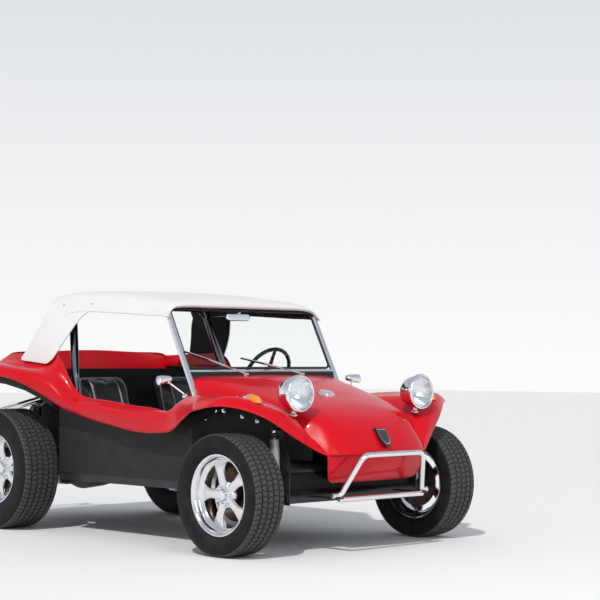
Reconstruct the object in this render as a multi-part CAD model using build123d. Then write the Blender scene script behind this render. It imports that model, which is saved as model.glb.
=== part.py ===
from build123d import *

import math
import os

# Open two seat dune buggy with a moulded shell on a short pan, a rear engine and a bolt on hardtop.
# Millimetres, +X forward, +Y to the left, +Z up. Places along the car are counted from the front axle,
# and every piece is moved by MIDDLE_X at the end, so that the origin is under the middle of the car.

os.makedirs("parts", exist_ok=True)

# Overall reaches and the wheels
FRONT_REACH = 476.0
REAR_REACH = 2860.0
MIDDLE_X = (REAR_REACH - FRONT_REACH) / 2
WHEELBASE = 2032.0
REAR_AXLE_X = -WHEELBASE
FRONT_TYRE_R = 310.0
FRONT_TYRE_W = 208.0
FRONT_TRACK_Y = 724.0
REAR_TYRE_R = 352.0
REAR_TYRE_W = 255.0
REAR_TRACK_Y = 682.0
FLANGE_R = 208.0
BEAD_R = 192.0
RIM_WALL = 7.0
LUGS = 5
SPOKES = 5
SPINDLE_R = 15.0
RUNNING = 0.05
SEAT_GAP = 0.3

# Steering
KINGPIN_IN = 124.0
KINGPIN_Y = FRONT_TRACK_Y - KINGPIN_IN
ARM_Z = 345.0
ARM_T = 20.0
ARM_REACH = 85.0
ARM_IN = 35.0
TIE_ROD_R = 9.0
COLUMN_SLOPE = 28.0
STEER_X = -870.0
STEER_Y = 330.0
STEER_Z = 910.0
STEER_R = 176.0
STEER_RING_R = 12.0
COLUMN_R = 19.0

# Front beam
BEAM_X = 145.0
BEAM_R = 30.0
BEAM_LOW_Z = 285.0
BEAM_HIGH_Z = 435.0
BEAM_END_Y = KINGPIN_Y - 110.0
TRAIL_T = 26.0
TRAIL_EYE_R = 14.0
SHOCK_Y = BEAM_END_Y + 30.0
SHOCK_R = 22.0
SHOCK_LOW_X = 130.0
SHOCK_TOP_X = 112.0
SHOCK_TOP_Z = 636.0

# Floor pan and panels
PAN_Z = 300.0
PAN_T = 6.0
PAN_HALF = 596.0
PAN_FRONT_X = -420.0
PAN_REAR_X = REAR_AXLE_X + REAR_TYRE_R + 40.0
PANEL_Y = 600.0
PANEL_T = 5.0
PANEL_LOW_Z = 343.0
TUNNEL_HALF = 80.0
TUNNEL_TOP_Z = 450.0

# Shell
WALL = 6.0
CREASE_Z = 502.0
CHIN_Z = 358.0
TAIL_X = REAR_AXLE_X - 118.0

# Windshield
POST_Y = 552.0
SCREEN_X = -541.0
SCREEN_Z = 930.0
SCREEN_LEAN = 27.5
SCREEN_H = 318.0
POST_W = 32.0
POST_T = 22.0
POST_DROP = 150.0
GLASS_T = 5.0

# Hardtop and roll bar
TOP_WALL = 6.0
BAR_R = 24.0

# Lamps
LAMP_X = 247.0
LAMP_Y = 457.0
LAMP_Z = 818.0
LAMP_R = 97.0
LAMP_DEPTH = 140.0
LENS_CROWN = 24.0
LENS_MIDDLE = 20.8

# Bumper
TUBE_R = 19.0

made = {}


def keep(name, shape):
    """Store a piece under its node name."""
    made[name] = shape


def both(shape):
    """The piece and its mirror image across the middle of the car."""
    return Compound(children=[*shape.solids(), *mirror(shape, about=Plane.XZ).solids()])


def tube(points, radius, bend=0.0):
    """A round bar along straight runs, with a bend radius at each inner corner."""
    if len(points) == 2:
        path = Line(*points)
    else:
        path = FilletPolyline(*points, radius=bend)
    start = Plane(origin=path @ 0, z_dir=path % 0)
    return sweep(start * Circle(radius), path=path, transition=Transition.RIGHT)


def rod(start, end, radius):
    """A straight round bar between two points."""
    way = Vector(*end) - Vector(*start)
    return Plane(origin=start, z_dir=way) * Cylinder(radius, way.length, align=(Align.CENTER, Align.CENTER, Align.MIN))


def block(size, place):
    """A box by its size and the place of its middle."""
    return Pos(*place) * Box(*size)


def unit(a, b):
    """The unit direction from a to b in a section's plane."""
    length = math.dist(a[:2], b[:2])
    return ((b[0] - a[0]) / length, (b[1] - a[1]) / length)


def rounded_path(corners):
    """Points of a path of straight runs and arcs, from corners (across, up, round's reach along its runs)."""
    points = [corners[0][:2]]
    for before, here, after in zip(corners, corners[1:], corners[2:]):
        back = unit(here, before)
        ahead = unit(here, after)
        half = math.acos(max(-1.0, min(1.0, back[0] * ahead[0] + back[1] * ahead[1]))) / 2
        reach = here[2]
        first = (here[0] + back[0] * reach, here[1] + back[1] * reach)
        last = (here[0] + ahead[0] * reach, here[1] + ahead[1] * reach)
        middle = ((first[0] + last[0]) / 2, (first[1] + last[1]) / 2)
        centre_way = unit(here, middle)
        depth = reach / math.cos(half) - reach * math.tan(half)
        crest = (here[0] + centre_way[0] * depth, here[1] + centre_way[1] * depth)
        points += [first, crest, last]
    points.append(corners[-1][:2])
    return points


def shifted(points, wall):
    """The path moved to its right by the wall, so that the two make a ribbon."""
    moved = []
    for i, point in enumerate(points):
        before = unit(points[i - 1], point) if i else None
        after = unit(point, points[i + 1]) if i + 1 < len(points) else None
        ways = [way for way in (before, after) if way]
        across = sum(way[1] for way in ways)
        up = -sum(way[0] for way in ways)
        length = math.hypot(across, up)
        moved.append((point[0] + across / length * wall, point[1] + up / length * wall))
    return moved


def path_edges(points):
    """Line, arc, line, arc and so on through the points of a rounded path."""
    edges = []
    at = 0
    while at + 1 < len(points):
        edges.append(Line(points[at], points[at + 1]))
        at += 1
        if at + 2 < len(points):
            edges.append(ThreePointArc(points[at], points[at + 1], points[at + 2]))
            at += 2
    return edges


def ribbon(corners, wall):
    """A face of one thickness along a rounded path."""
    outer = rounded_path(corners)
    inner = shifted(outer, wall)
    edges = path_edges(outer)
    edges += [Line(outer[-1], inner[-1])]
    edges += path_edges(inner)
    edges += [Line(inner[0], outer[0])]
    return make_face(edges)


def seated(piece, carrier, way, gap=SEAT_GAP):
    """The piece moved along a way towards its carrier until only the gap is left."""
    step = Vector(*way).normalized()
    for _ in range(6):
        piece = piece.moved(Location(step * (piece.distance_to(carrier) - gap)))
    return piece


def section_plane(x, z=0.0, tilt=0.0):
    """A plane across the car, with its own up axis leaning forward by tilt degrees."""
    a = math.radians(tilt)
    return Plane(origin=(x, 0, z), x_dir=(0, 1, 0), z_dir=(math.cos(a), 0, -math.sin(a)))


def skin(sections, wall, ruled=True):
    """A shell through ribbons, each section being (plane, corners)."""
    faces = [plane * ribbon(corners, wall) for plane, corners in sections]
    return loft(faces, ruled=ruled)


# Wheels


def tyre(radius, width, rim_width):
    """A tyre as a closed ring of revolution about Y, seated between the rim's flanges."""
    half = width / 2
    tread = half * 0.86
    inner = BEAD_R + SEAT_GAP
    bead = rim_width / 2 - RIM_WALL - SEAT_GAP
    with_bulge = [
        (inner, -bead + 3.2),
        (FLANGE_R + 2, -bead),
        (radius * 0.82, -half),
        (radius * 0.955, -half * 0.95),
        (radius - 4, -tread),
        (radius, -tread * 0.6),
        (radius, tread * 0.6),
        (radius - 4, tread),
        (radius * 0.955, half * 0.95),
        (radius * 0.82, half),
        (FLANGE_R + 2, bead),
        (inner, bead - 3.2),
    ]
    outline = Plane.XY * make_face(Polyline(*with_bulge, close=True))
    return revolve(outline, axis=Axis.Y)


def rim(width, recess):
    """An alloy wheel whose outer face looks to +Y: barrel, lip, five tapered spokes, hub, nuts and cap."""
    half = width / 2
    well = BEAD_R - 22
    barrel = [
        (FLANGE_R, -half),
        (FLANGE_R, -half + RIM_WALL),
        (BEAD_R, -half + RIM_WALL + 3),
        (BEAD_R, -half + 26),
        (well, -half + 38),
        (well, half - 52),
        (BEAD_R, half - 34),
        (BEAD_R, half - RIM_WALL - 3),
        (FLANGE_R, half - RIM_WALL),
        (FLANGE_R, half),
        (FLANGE_R - 8, half),
        (BEAD_R - RIM_WALL, half - 14),
        (BEAD_R - RIM_WALL - 4, half - 30),
        (well - RIM_WALL, half - 50),
        (well - RIM_WALL, -half + 40),
        (BEAD_R - RIM_WALL, -half + 22),
        (FLANGE_R - 8, -half),
    ]
    shape = revolve(Plane.XY * make_face(Polyline(*barrel, close=True)), axis=Axis.Y)
    face = half - recess
    hub = revolve(
        Plane.XY * make_face(Polyline((0, face - 30), (72, face - 30), (66, face - 8), (50, face), (0, face), close=True)),
        axis=Axis.Y,
    )
    reach = well - RIM_WALL + 2
    roots = Plane(origin=(52, face - 16, 0), x_dir=(0, 0, 1), z_dir=(1, 0, 0)) * Ellipse(27, 12)
    tips = Plane(origin=(reach, face - 16, 0), x_dir=(0, 0, 1), z_dir=(1, 0, 0)) * Ellipse(36, 13)
    spoke = loft([roots, tips])
    turn = 360 / SPOKES
    for n in range(SPOKES):
        shape += Rot(0, 90 + turn * n, 0) * spoke
    shape += hub
    for n in range(LUGS):
        a = math.radians(turn * (n + 0.5) - 90)
        nut = Plane(origin=(48 * math.cos(a), face - 8, 48 * math.sin(a)), z_dir=(0, 1, 0)) * RegularPolygon(12, 6)
        shape += extrude(nut, 22)
    cap = Plane(origin=(0, face - 2, 0), z_dir=(0, 1, 0)) * Circle(30)
    shape += extrude(cap, 24, taper=12)
    return shape


def brake(disc_r, disc_t, hub_r, length, drum):
    """A disc or a drum with its hub bored for the spindle; its outer face lies at Y zero."""
    body = Cylinder(hub_r, length, align=(Align.CENTER, Align.CENTER, Align.MAX))
    if drum:
        body += Cylinder(disc_r, disc_t, align=(Align.CENTER, Align.CENTER, Align.MAX))
        body -= Pos(0, 0, -12) * Cylinder(disc_r - 10, disc_t, align=(Align.CENTER, Align.CENTER, Align.MAX))
        body += Cylinder(hub_r, length, align=(Align.CENTER, Align.CENTER, Align.MAX))
    else:
        body += Pos(0, 0, -length + disc_t) * Cylinder(disc_r, disc_t, align=(Align.CENTER, Align.CENTER, Align.MAX))
        body += Cylinder(70, 10, align=(Align.CENTER, Align.CENTER, Align.MAX))
    body -= Pos(0, 0, -12) * Cylinder(SPINDLE_R + RUNNING, length, align=(Align.CENTER, Align.CENTER, Align.MAX))
    return Rot(-90, 0, 0) * body


FRONT_RIM_W = 166.0
FRONT_RECESS = 46.0
REAR_RIM_W = 212.0
REAR_RECESS = 68.0
HUB_PLATE = 30.0
WHEELS = {  # name: axle x, track y, tyre radius, tyre width, rim width, spoke recess
    "f": (0.0, FRONT_TRACK_Y, FRONT_TYRE_R, FRONT_TYRE_W, FRONT_RIM_W, FRONT_RECESS),
    "r": (-WHEELBASE, REAR_TRACK_Y, REAR_TYRE_R, REAR_TYRE_W, REAR_RIM_W, REAR_RECESS),
}
MOUNT_Y = {end: w[1] + w[4] / 2 - w[5] - HUB_PLATE for end, w in WHEELS.items()}

for end, (axle_x, track_y, radius, width, rim_w, recess) in WHEELS.items():
    hub_at = Pos(axle_x, track_y, radius)
    brake_at = Pos(axle_x, MOUNT_Y[end] - SEAT_GAP, radius)
    ring = hub_at * tyre(radius, width, rim_w)
    alloy = hub_at * rim(rim_w, recess)
    if end == "f":
        stop = brake_at * brake(139, 11, 36, 58, drum=False)
    else:
        stop = brake_at * brake(124, 52, 38, 58, drum=True)
    for side, turned in (("l", False), ("r", True)):
        for kind, shape in (("tyre", ring), ("rim", alloy), ("brake", stop)):
            keep(f"{kind}_{end}{side}", mirror(shape, about=Plane.XZ) if turned else shape)

# Front beam, trailing arms, knuckles and tie rod
arm_low_top = BEAM_LOW_Z + TRAIL_T / 2
arm_high_low = BEAM_HIGH_Z - TRAIL_T / 2
beam = rod((BEAM_X, -BEAM_END_Y, BEAM_LOW_Z), (BEAM_X, BEAM_END_Y, BEAM_LOW_Z), BEAM_R)
beam += rod((BEAM_X, -BEAM_END_Y, BEAM_HIGH_Z), (BEAM_X, BEAM_END_Y, BEAM_HIGH_Z), BEAM_R)
for side in (-1, 1):
    tower = Polyline(
        (BEAM_X + 34, BEAM_LOW_Z - 34),
        (BEAM_X + 34, BEAM_HIGH_Z + 34),
        (BEAM_X - 6, 640),
        (BEAM_X - 60, 655),
        (BEAM_X - 60, 640),
        (BEAM_X - 34, 560),
        (BEAM_X - 34, BEAM_LOW_Z - 34),
        close=True,
    )
    plate = extrude(Plane(origin=(0, 0, 0), x_dir=(1, 0, 0), z_dir=(0, -1, 0)) * make_face(tower), 8)
    beam += Pos(0, side * (BEAM_END_Y - 14) + 4, 0) * plate
    for x, z, pin_r in ((SHOCK_TOP_X, SHOCK_TOP_Z, 8), (SHOCK_LOW_X, BEAM_LOW_Z, 9)):
        beam += rod((x, side * (BEAM_END_Y - 18), z), (x, side * (SHOCK_Y + 18), z), pin_r)
    for z in (BEAM_LOW_Z, BEAM_HIGH_Z):
        arm = Polyline(
            (BEAM_X + 30, side * (BEAM_END_Y - TRAIL_T)),
            (BEAM_X + 30, side * BEAM_END_Y),
            (BEAM_X - 68, side * BEAM_END_Y),
            (TRAIL_EYE_R, side * KINGPIN_Y),
            (-TRAIL_EYE_R, side * KINGPIN_Y),
            (-TRAIL_EYE_R, side * (KINGPIN_Y - 24)),
            (BEAM_X - 90, side * (BEAM_END_Y - TRAIL_T)),
            close=True,
        )
        beam += extrude(Plane.XY.offset(z - TRAIL_T / 2) * make_face(arm), TRAIL_T)
        beam += Pos(0, side * KINGPIN_Y, z) * Cylinder(TRAIL_EYE_R, TRAIL_T)
keep("front_beam", beam)

shock_low = Vector(SHOCK_LOW_X, SHOCK_Y, BEAM_LOW_Z + 10)
shock_top = Vector(SHOCK_TOP_X, SHOCK_Y, SHOCK_TOP_Z - 9)
shock_way = (shock_top - shock_low).normalized()
shock = rod(shock_low + shock_way * 130, shock_top - shock_way * 25, SHOCK_R)
shock += rod(shock_low, shock_top - shock_way * 26, 10)
shock += rod(shock_top - shock_way * 26, shock_top, 7)

knuckle_z = (arm_low_top + SEAT_GAP, arm_high_low - SEAT_GAP)
mount_front = MOUNT_Y["f"]
spindle_end = mount_front - 16
knuckle = Pos(0, KINGPIN_Y, knuckle_z[0]) * Cylinder(
    20, knuckle_z[1] - knuckle_z[0], align=(Align.CENTER, Align.CENTER, Align.MIN)
)
boss_z = FRONT_TYRE_R + 12
knuckle += rod((0, KINGPIN_Y + 18, boss_z), (0, KINGPIN_Y + 40, boss_z), 34)
knuckle += block((40, 30, 40), (0, KINGPIN_Y + 12, boss_z + 14))
knuckle += rod((0, KINGPIN_Y + 21, FRONT_TYRE_R), (0, spindle_end, FRONT_TYRE_R), SPINDLE_R)
steer_arm = Polyline(
    (14, KINGPIN_Y + 12),
    (-10, KINGPIN_Y - 14),
    (ARM_REACH - 16, KINGPIN_Y - ARM_IN - 15),
    (ARM_REACH + 14, KINGPIN_Y - ARM_IN - 15),
    (ARM_REACH + 14, KINGPIN_Y - ARM_IN + 15),
    close=True,
)
knuckle += extrude(Plane.XY.offset(ARM_Z) * make_face(steer_arm), ARM_T)
keep("knuckle_left", knuckle)
keep("knuckle_right", mirror(knuckle, about=Plane.XZ))

rod_z = ARM_Z + ARM_T + SEAT_GAP
eye_y = KINGPIN_Y - ARM_IN
tie = rod((ARM_REACH, -eye_y, rod_z + 12), (ARM_REACH, eye_y, rod_z + 12), TIE_ROD_R)
for side in (-1, 1):
    tie += Pos(ARM_REACH, side * eye_y, rod_z) * Cylinder(13, 24, align=(Align.CENTER, Align.CENTER, Align.MIN))
keep("tie_rod", tie)

# Floor pan: plate, tunnel, frame head and rear fork
pan_outline = [
    (PAN_REAR_X, PAN_HALF),
    (PAN_FRONT_X, PAN_HALF),
    (-325, 430),
    (-130, 390),
    (-60, 150),
    (BEAM_X - BEAM_R - SEAT_GAP, 110),
]
pan_points = pan_outline + [(x, -y) for x, y in reversed(pan_outline)]
pan = extrude(Plane.XY.offset(PAN_Z) * make_face(Polyline(*pan_points, close=True)), PAN_T)
tunnel_profile = Polyline(
    (-TUNNEL_HALF, PAN_Z + PAN_T),
    (-TUNNEL_HALF * 0.75, TUNNEL_TOP_Z),
    (TUNNEL_HALF * 0.75, TUNNEL_TOP_Z),
    (TUNNEL_HALF, PAN_Z + PAN_T),
    close=True,
)
tunnel = extrude(section_plane(PAN_REAR_X) * make_face(tunnel_profile), -PAN_REAR_X - 60)
pan += tunnel
head_front = BEAM_X - BEAM_R - SEAT_GAP
head_low = BEAM_LOW_Z - 15
head_high = PAN_Z + 46
pan += block((head_front + 80, 150, head_high - head_low), ((head_front - 80) / 2, 0, (head_low + head_high) / 2))
for side in (-1, 1):
    edge_y = side * (PAN_HALF - 14)
    rail_at = ((PAN_FRONT_X + PAN_REAR_X) / 2, edge_y, (PANEL_LOW_Z + PAN_Z) / 2)
    pan += block((PAN_FRONT_X - PAN_REAR_X, 28, PANEL_LOW_Z - PAN_Z), rail_at)
    pan += rod((PAN_REAR_X - 20, side * 120, 338), (REAR_AXLE_X - 88, side * 232, 262), 28)
pan += rod((PAN_REAR_X - 20, -470, 352), (PAN_REAR_X - 20, 470, 352), 42)
keep("floor_pan", pan)

# Side panels: black outer plates that turn inward in front to clear the steered wheels
panel_plan = [(PAN_REAR_X, PANEL_Y), (-440, PANEL_Y), (-318, 436), (-130, 396), (215, 352)]
inner_line = [(x, y - PANEL_T) for x, y in reversed(panel_plan)]
panel = extrude(Plane.XY.offset(PANEL_LOW_Z) * make_face(Polyline(*(panel_plan + inner_line), close=True)), 420)
top_line = [
    (PAN_REAR_X - 10, 760),
    (-1490, 700),
    (-1390, 665),
    (-1050, 612),
    (-700, 590),
    (-500, 596),
    (-420, 660),
    (-300, 700),
    (60, 640),
    (215, 540),
    (230, 1000),
    (PAN_REAR_X - 10, 1000),
]
side_on = Plane(origin=(0, 300, 0), x_dir=(1, 0, 0), z_dir=(0, -1, 0))
panel -= extrude(side_on * make_face(Polyline(*top_line, close=True)), -400)

# Shell sections, left side: x, then (y, z) of the inner edge, the rim, the shoulder and the lip
FENDER = [
    (300, (381, 536), (398, 556), (424, 566), (443, 551)),
    (250, (395, 570), (425, 622), (505, 652), (548, 618)),
    (199, (408, 600), (450, 688), (600, 730), (660, 687)),
    (100, (433, 650), (500, 762), (720, 792), (800, 735)),
    (38, (450, 682), (530, 792), (790, 808), (888, 750)),
    (-50, (470, 708), (545, 799), (788, 809), (876, 746)),
    (-147, (488, 730), (560, 803), (770, 806), (848, 731)),
    (-250, (502, 754), (568, 805), (740, 806), (790, 700)),
    (-450, (534, 792), (582, 806), (665, 800), (720, 622)),
]
SIDE = [
    (-450, (534, 792), (582, 806), (665, 800), (720, 622)),
    (-510, (585, 730), (603, 770), (665, 765), (709, 608)),
    (-567, (PANEL_Y + SEAT_GAP, 670), (613, 718), (672, 730), (700, 601)),
    (-700, (PANEL_Y + SEAT_GAP, 670), (618, 722), (678, 712), (690, 598)),
    (-1050, (PANEL_Y + SEAT_GAP, 700), (618, 754), (684, 718), (680, 630)),
    (-1390, (PANEL_Y + SEAT_GAP, 740), (622, 795), (690, 735), (682, 685)),
    (-1490, (612, 830), (630, 884), (700, 800), (695, 715)),
    (-1570, (628, 930), (645, 993), (730, 880), (716, 756)),
    (-1740, (640, 945), (655, 1003), (790, 965), (820, 868)),
    (-1885, (640, 950), (655, 1015), (805, 990), (852, 900)),
    (-2030, (625, 955), (640, 1030), (805, 1000), (862, 910)),
    (TAIL_X, (600, 958), (615, 1036), (800, 985), (855, 892)),
]


def side_corners(row, rim_round, shoulder_round):
    """Corners of one side section from its table row, with rounds that its short runs allow."""
    _, inner, rim_at, shoulder, lip = row
    runs = [math.dist(inner, rim_at), math.dist(rim_at, shoulder), math.dist(shoulder, lip)]
    first = min(rim_round, 0.35 * runs[0], 0.35 * runs[1])
    second = min(shoulder_round, 0.35 * runs[1], 0.35 * runs[2])
    return [(*inner, 0), (*rim_at, first), (*shoulder, second), (*lip, 0)]


fender = skin([(section_plane(row[0]), side_corners(row, 60, 60)) for row in FENDER], WALL)
sill = skin([(section_plane(row[0]), side_corners(row, 14, 40)) for row in SIDE], WALL)
nose_rows = [  # z, half width, corner x, centre x
    (CREASE_Z, 365, 344, 416),
    (430, 330, 318, 362),
    (CHIN_Z, 270, 281, 286),
]


def nose_face(z, half, corner_x, centre_x):
    """The nose's front wall at one height."""
    outer = ThreePointArc((corner_x, -half), (centre_x, 0), (corner_x, half))
    inner = ThreePointArc((corner_x - WALL, half - 2), (centre_x - WALL, 0), (corner_x - WALL, -half + 2))
    ends = [Line(outer @ 1, inner @ 0), Line(inner @ 1, outer @ 0)]
    return Plane.XY.offset(z) * make_face([outer, ends[0], inner, ends[1]])


nose = loft([nose_face(*row) for row in nose_rows])



def valley_edge(x):
    """The hood's edge beside the fender's inner edge at a place along the car."""
    for ahead, behind in zip(FENDER, FENDER[1:]):
        if behind[0] <= x <= ahead[0]:
            share = (ahead[0] - x) / (ahead[0] - behind[0])
            across, up = (a + (b - a) * share for a, b in zip(ahead[1], behind[1]))
            return (across - SEAT_GAP, up)


HOOD = [  # x, tilt, base z: then (across, up from the base z) of the middle, the shoulder and the valley edge
    (-520, 0, 0, (0, 920), (462, 900), (526, 798)),
    (-300, 0, 0, (0, 885), (440, 858), valley_edge(-300)),
    (-30, 0, 0, (0, 811), (392, 785), valley_edge(-30)),
    (110, 0, 0, (0, 765), (360, 742), valley_edge(110)),
    (245, 0, 0, (0, 701), (328, 684), valley_edge(245)),
    (318, 8, 534, (0, 104), (318, 86), (370, 2)),
    (0, 90, CREASE_Z, (0, 418), (335, 372), (362, 345)),
]


def hood_corners(row):
    """Corners right across the hood: valley edges, shoulders and a crowned middle."""
    _, _, _, middle, shoulder, valley = row
    crown = (shoulder[0] * 0.55, middle[1] - 0.2 * (middle[1] - shoulder[1]))
    run = math.dist(shoulder, valley)
    half = [(*crown, 60), (*shoulder, min(50, 0.4 * run)), (*valley, 0)]
    return [(-y, z, r) for y, z, r in reversed(half)] + half


hood = skin([(section_plane(row[0], row[2], row[1]), hood_corners(row)) for row in HOOD], WALL)
REAR = [  # x: then the middle, the deck's edge, the shoulder and the lip
    (TAIL_X, (0, 1062), (560, 1040), (800, 985), (855, 892)),
    (-2290, (0, 1035), (545, 1015), (792, 965), (840, 850)),
    (-2420, (0, 985), (530, 968), (750, 920), (790, 775)),
    (-2540, (0, 915), (510, 900), (690, 860), (720, 715)),
]


def rear_corners(row):
    """Corners right across the rear deck and both rear fenders."""
    _, middle, deck, shoulder, lip = row
    crown = (deck[0] * 0.5, middle[1] - 0.2 * (middle[1] - deck[1]))
    half = [(*crown, 60), (*deck, 60), (*shoulder, 45), (*lip, 0)]
    return [(-y, z, r) for y, z, r in reversed(half)] + half


rear = skin([(section_plane(row[0]), rear_corners(row)) for row in REAR], WALL)

coaming = block((WALL, 1180, 101), (TAIL_X - WALL / 2, 0, 987.5))
tail_skirt = []
for side in (-1, 1):
    skirt_points = [(380, 900), (500, 897), (684, 850), (712, 716), (640, 700), (420, 760)]
    skirt = Polyline(*[(side * y, z) for y, z in skirt_points], close=True)
    tail_skirt.append(extrude(section_plane(-2540) * make_face(skirt), -WALL))
keep("front_body", both(fender) + nose)
keep("hood", hood)
keep("body_sides", both(sill))
keep("rear_body", rear + coaming + tail_skirt)

# Inner tub: firewall, rear bulkhead and the shelf under the hardtop
firewall = block((PANEL_T, 770, 330), (-140, 0, PAN_Z + PAN_T + 165))
tub_floor = PAN_Z + PAN_T
bulk = Polyline(
    (-1606, tub_floor),
    (-1606, 400),
    (-1905, 780),
    (-1905, 935),
    (TAIL_X + SEAT_GAP, 935),
    (TAIL_X + SEAT_GAP, 941),
    (-1899, 941),
    (-1899, 777),
    (-1600, 397),
    (-1600, tub_floor),
    close=True,
)
bulkhead = extrude(Plane(origin=(0, 535, 0), x_dir=(1, 0, 0), z_dir=(0, -1, 0)) * make_face(bulk), 1070)
gap_top = TUNNEL_TOP_Z + SEAT_GAP
tunnel_gap = block((4000, 2 * TUNNEL_HALF + 2 * SEAT_GAP, gap_top), (-1000, 0, gap_top / 2))
keep("tub", Compound(children=[*(firewall - tunnel_gap).solids(), *(bulkhead - tunnel_gap).solids()]))
beam_notch_z = BEAM_HIGH_Z + BEAM_R + 10
panel -= block((400, 400, beam_notch_z - PAN_Z), (240, PANEL_Y - 240, (beam_notch_z + PAN_Z) / 2))
keep("side_panels", both(panel))

# Dash under the cowl with two round dials
dash_profile = Polyline((-538, 864), (-498, 864), (-524, 790), (-550, 750), (-568, 755), (-540, 788), close=True)
dash = extrude(Plane(origin=(0, 440, 0), x_dir=(1, 0, 0), z_dir=(0, -1, 0)) * make_face(dash_profile), 880)
for y in (STEER_Y - 62, STEER_Y + 62):
    dash += Pos(-540, y, 818) * Rot(0, -90, 0) * Cylinder(44, 24)
keep("dash", seated(dash, hood, (0, 0, 1)))

# Windshield
lean = math.radians(SCREEN_LEAN)
screen = Plane(origin=(SCREEN_X, 0, SCREEN_Z), x_dir=(0, 1, 0), z_dir=(math.cos(lean), 0, math.sin(lean)))
outer = Pos(0, SCREEN_H / 2) * RectangleRounded(2 * POST_Y + POST_W, SCREEN_H + POST_W, 22)
opening_w = 2 * POST_Y - POST_W
opening_h = SCREEN_H - POST_W
opening = Pos(0, SCREEN_H / 2) * RectangleRounded(opening_w, opening_h, 14)
frame_shape = extrude(screen * (outer - opening), POST_T / 2, both=True)
for side in (-1, 1):
    leg = Pos(side * POST_Y, -POST_DROP / 2) * Rectangle(POST_W, POST_DROP)
    frame_shape += extrude(screen * leg, POST_T / 2, both=True)
foot = seated(block((44, 56, 8), (-480, POST_Y + 28, 816)), sill, (0, 0, -1))
frame_shape += [foot, mirror(foot, about=Plane.XZ)]
groove = Pos(0, SCREEN_H / 2) * RectangleRounded(opening_w + 16, opening_h + 16, 22)
frame_shape -= extrude(screen * groove, GLASS_T / 2 + SEAT_GAP, both=True)
keep("windshield_frame", frame_shape)
glass = Pos(0, SCREEN_H / 2) * RectangleRounded(opening_w + 15, opening_h + 15, 21.5)
keep("windshield_glass", extrude(screen * glass, GLASS_T / 2, both=True))

# Hardtop
ROOF = [  # x: then the middle, the shoulder and the side edge
    (-694, (0, 1300), (528, 1276), (556, 1244)),
    (-850, (0, 1340), (512, 1314), (556, 1248)),
    (-1100, (0, 1385), (500, 1352), (556, 1254)),
    (-1440, (0, 1424), (496, 1384), (556, 1274)),
    (-1700, (0, 1428), (496, 1378), (556, 1268)),
    (-1850, (0, 1410), (500, 1350), (550, 1262)),
]


def roof_corners(row):
    """Corners right across the roof."""
    _, middle, shoulder, edge = row
    crown = (shoulder[0] * 0.6, middle[1] - 0.22 * (middle[1] - shoulder[1]))
    half = [(*crown, 70), (*shoulder, min(30, 0.4 * math.dist(shoulder, edge))), (*edge, 0)]
    return [(-y, z, r) for y, z, r in reversed(half)] + half


roof = skin([(section_plane(row[0]), roof_corners(row)) for row in ROOF], TOP_WALL)
SAIL_LOW_Y = 652.0
SAIL_TOP_Y = 552.0
SAIL_LOW_Z = 1016.0
SAIL_TOP_Z = 1290.0
sail_rise = math.hypot(SAIL_TOP_Z - SAIL_LOW_Z, SAIL_LOW_Y - SAIL_TOP_Y)
sail_way = ((SAIL_TOP_Y - SAIL_LOW_Y) / sail_rise, (SAIL_TOP_Z - SAIL_LOW_Z) / sail_rise)
sail_plane = Plane(origin=(0, SAIL_LOW_Y, SAIL_LOW_Z), x_dir=(-1, 0, 0), z_dir=(0, sail_way[1], -sail_way[0]))
sail_points = [(1640, -6), (1950, 18), (1822, sail_rise + 22), (1420, sail_rise - 4), (1478, sail_rise - 40)]
sail_outline = Polyline(*sail_points, close=True)
sail = extrude(sail_plane * make_face(sail_outline), -TOP_WALL)
roof = seated(roof, frame_shape, (0, 0, -1))
sail = seated(sail, sill, (0, 0, -1))
keep("hardtop", roof + both(sail))

# Roll bar
bar_points = [(-1500, -534, PAN_Z + PAN_T + 4), (-1520, -574, 900), (-1645, -505, 1318)]
bar_points += [(x, -y, z) for x, y, z in reversed(bar_points)]
roll_bar = tube(bar_points, BAR_R, 90)
for side in (-1, 1):
    roll_bar += block((90, 60, 8), (-1500, side * 534, PAN_Z + PAN_T + 4))
keep("roll_bar", roll_bar)

# Seats
SEAT_Y = 300.0
SEAT_W = 400.0

side_view = Plane(origin=(0, SEAT_Y + SEAT_W / 2, 0), x_dir=(1, 0, 0), z_dir=(0, -1, 0))
seat_side = Polyline(
    (-1060, 330),
    (-1070, 470),
    (-1110, 500),
    (-1480, 470),
    (-1655, 880),
    (-1700, 915),
    (-1750, 905),
    (-1780, 870),
    (-1580, 400),
    (-1545, 330),
    close=True,
)
seat = fillet(extrude(side_view * make_face(seat_side), SEAT_W).edges().filter_by(Axis.Y, reverse=True), 18)
for y in (SEAT_Y - 140, SEAT_Y + 140):
    seat += block((380, 32, 40), (-1290, y, PAN_Z + PAN_T + SEAT_GAP + 20))
keep("seats", both(seat))

keep("front_shocks", both(shock))

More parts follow.
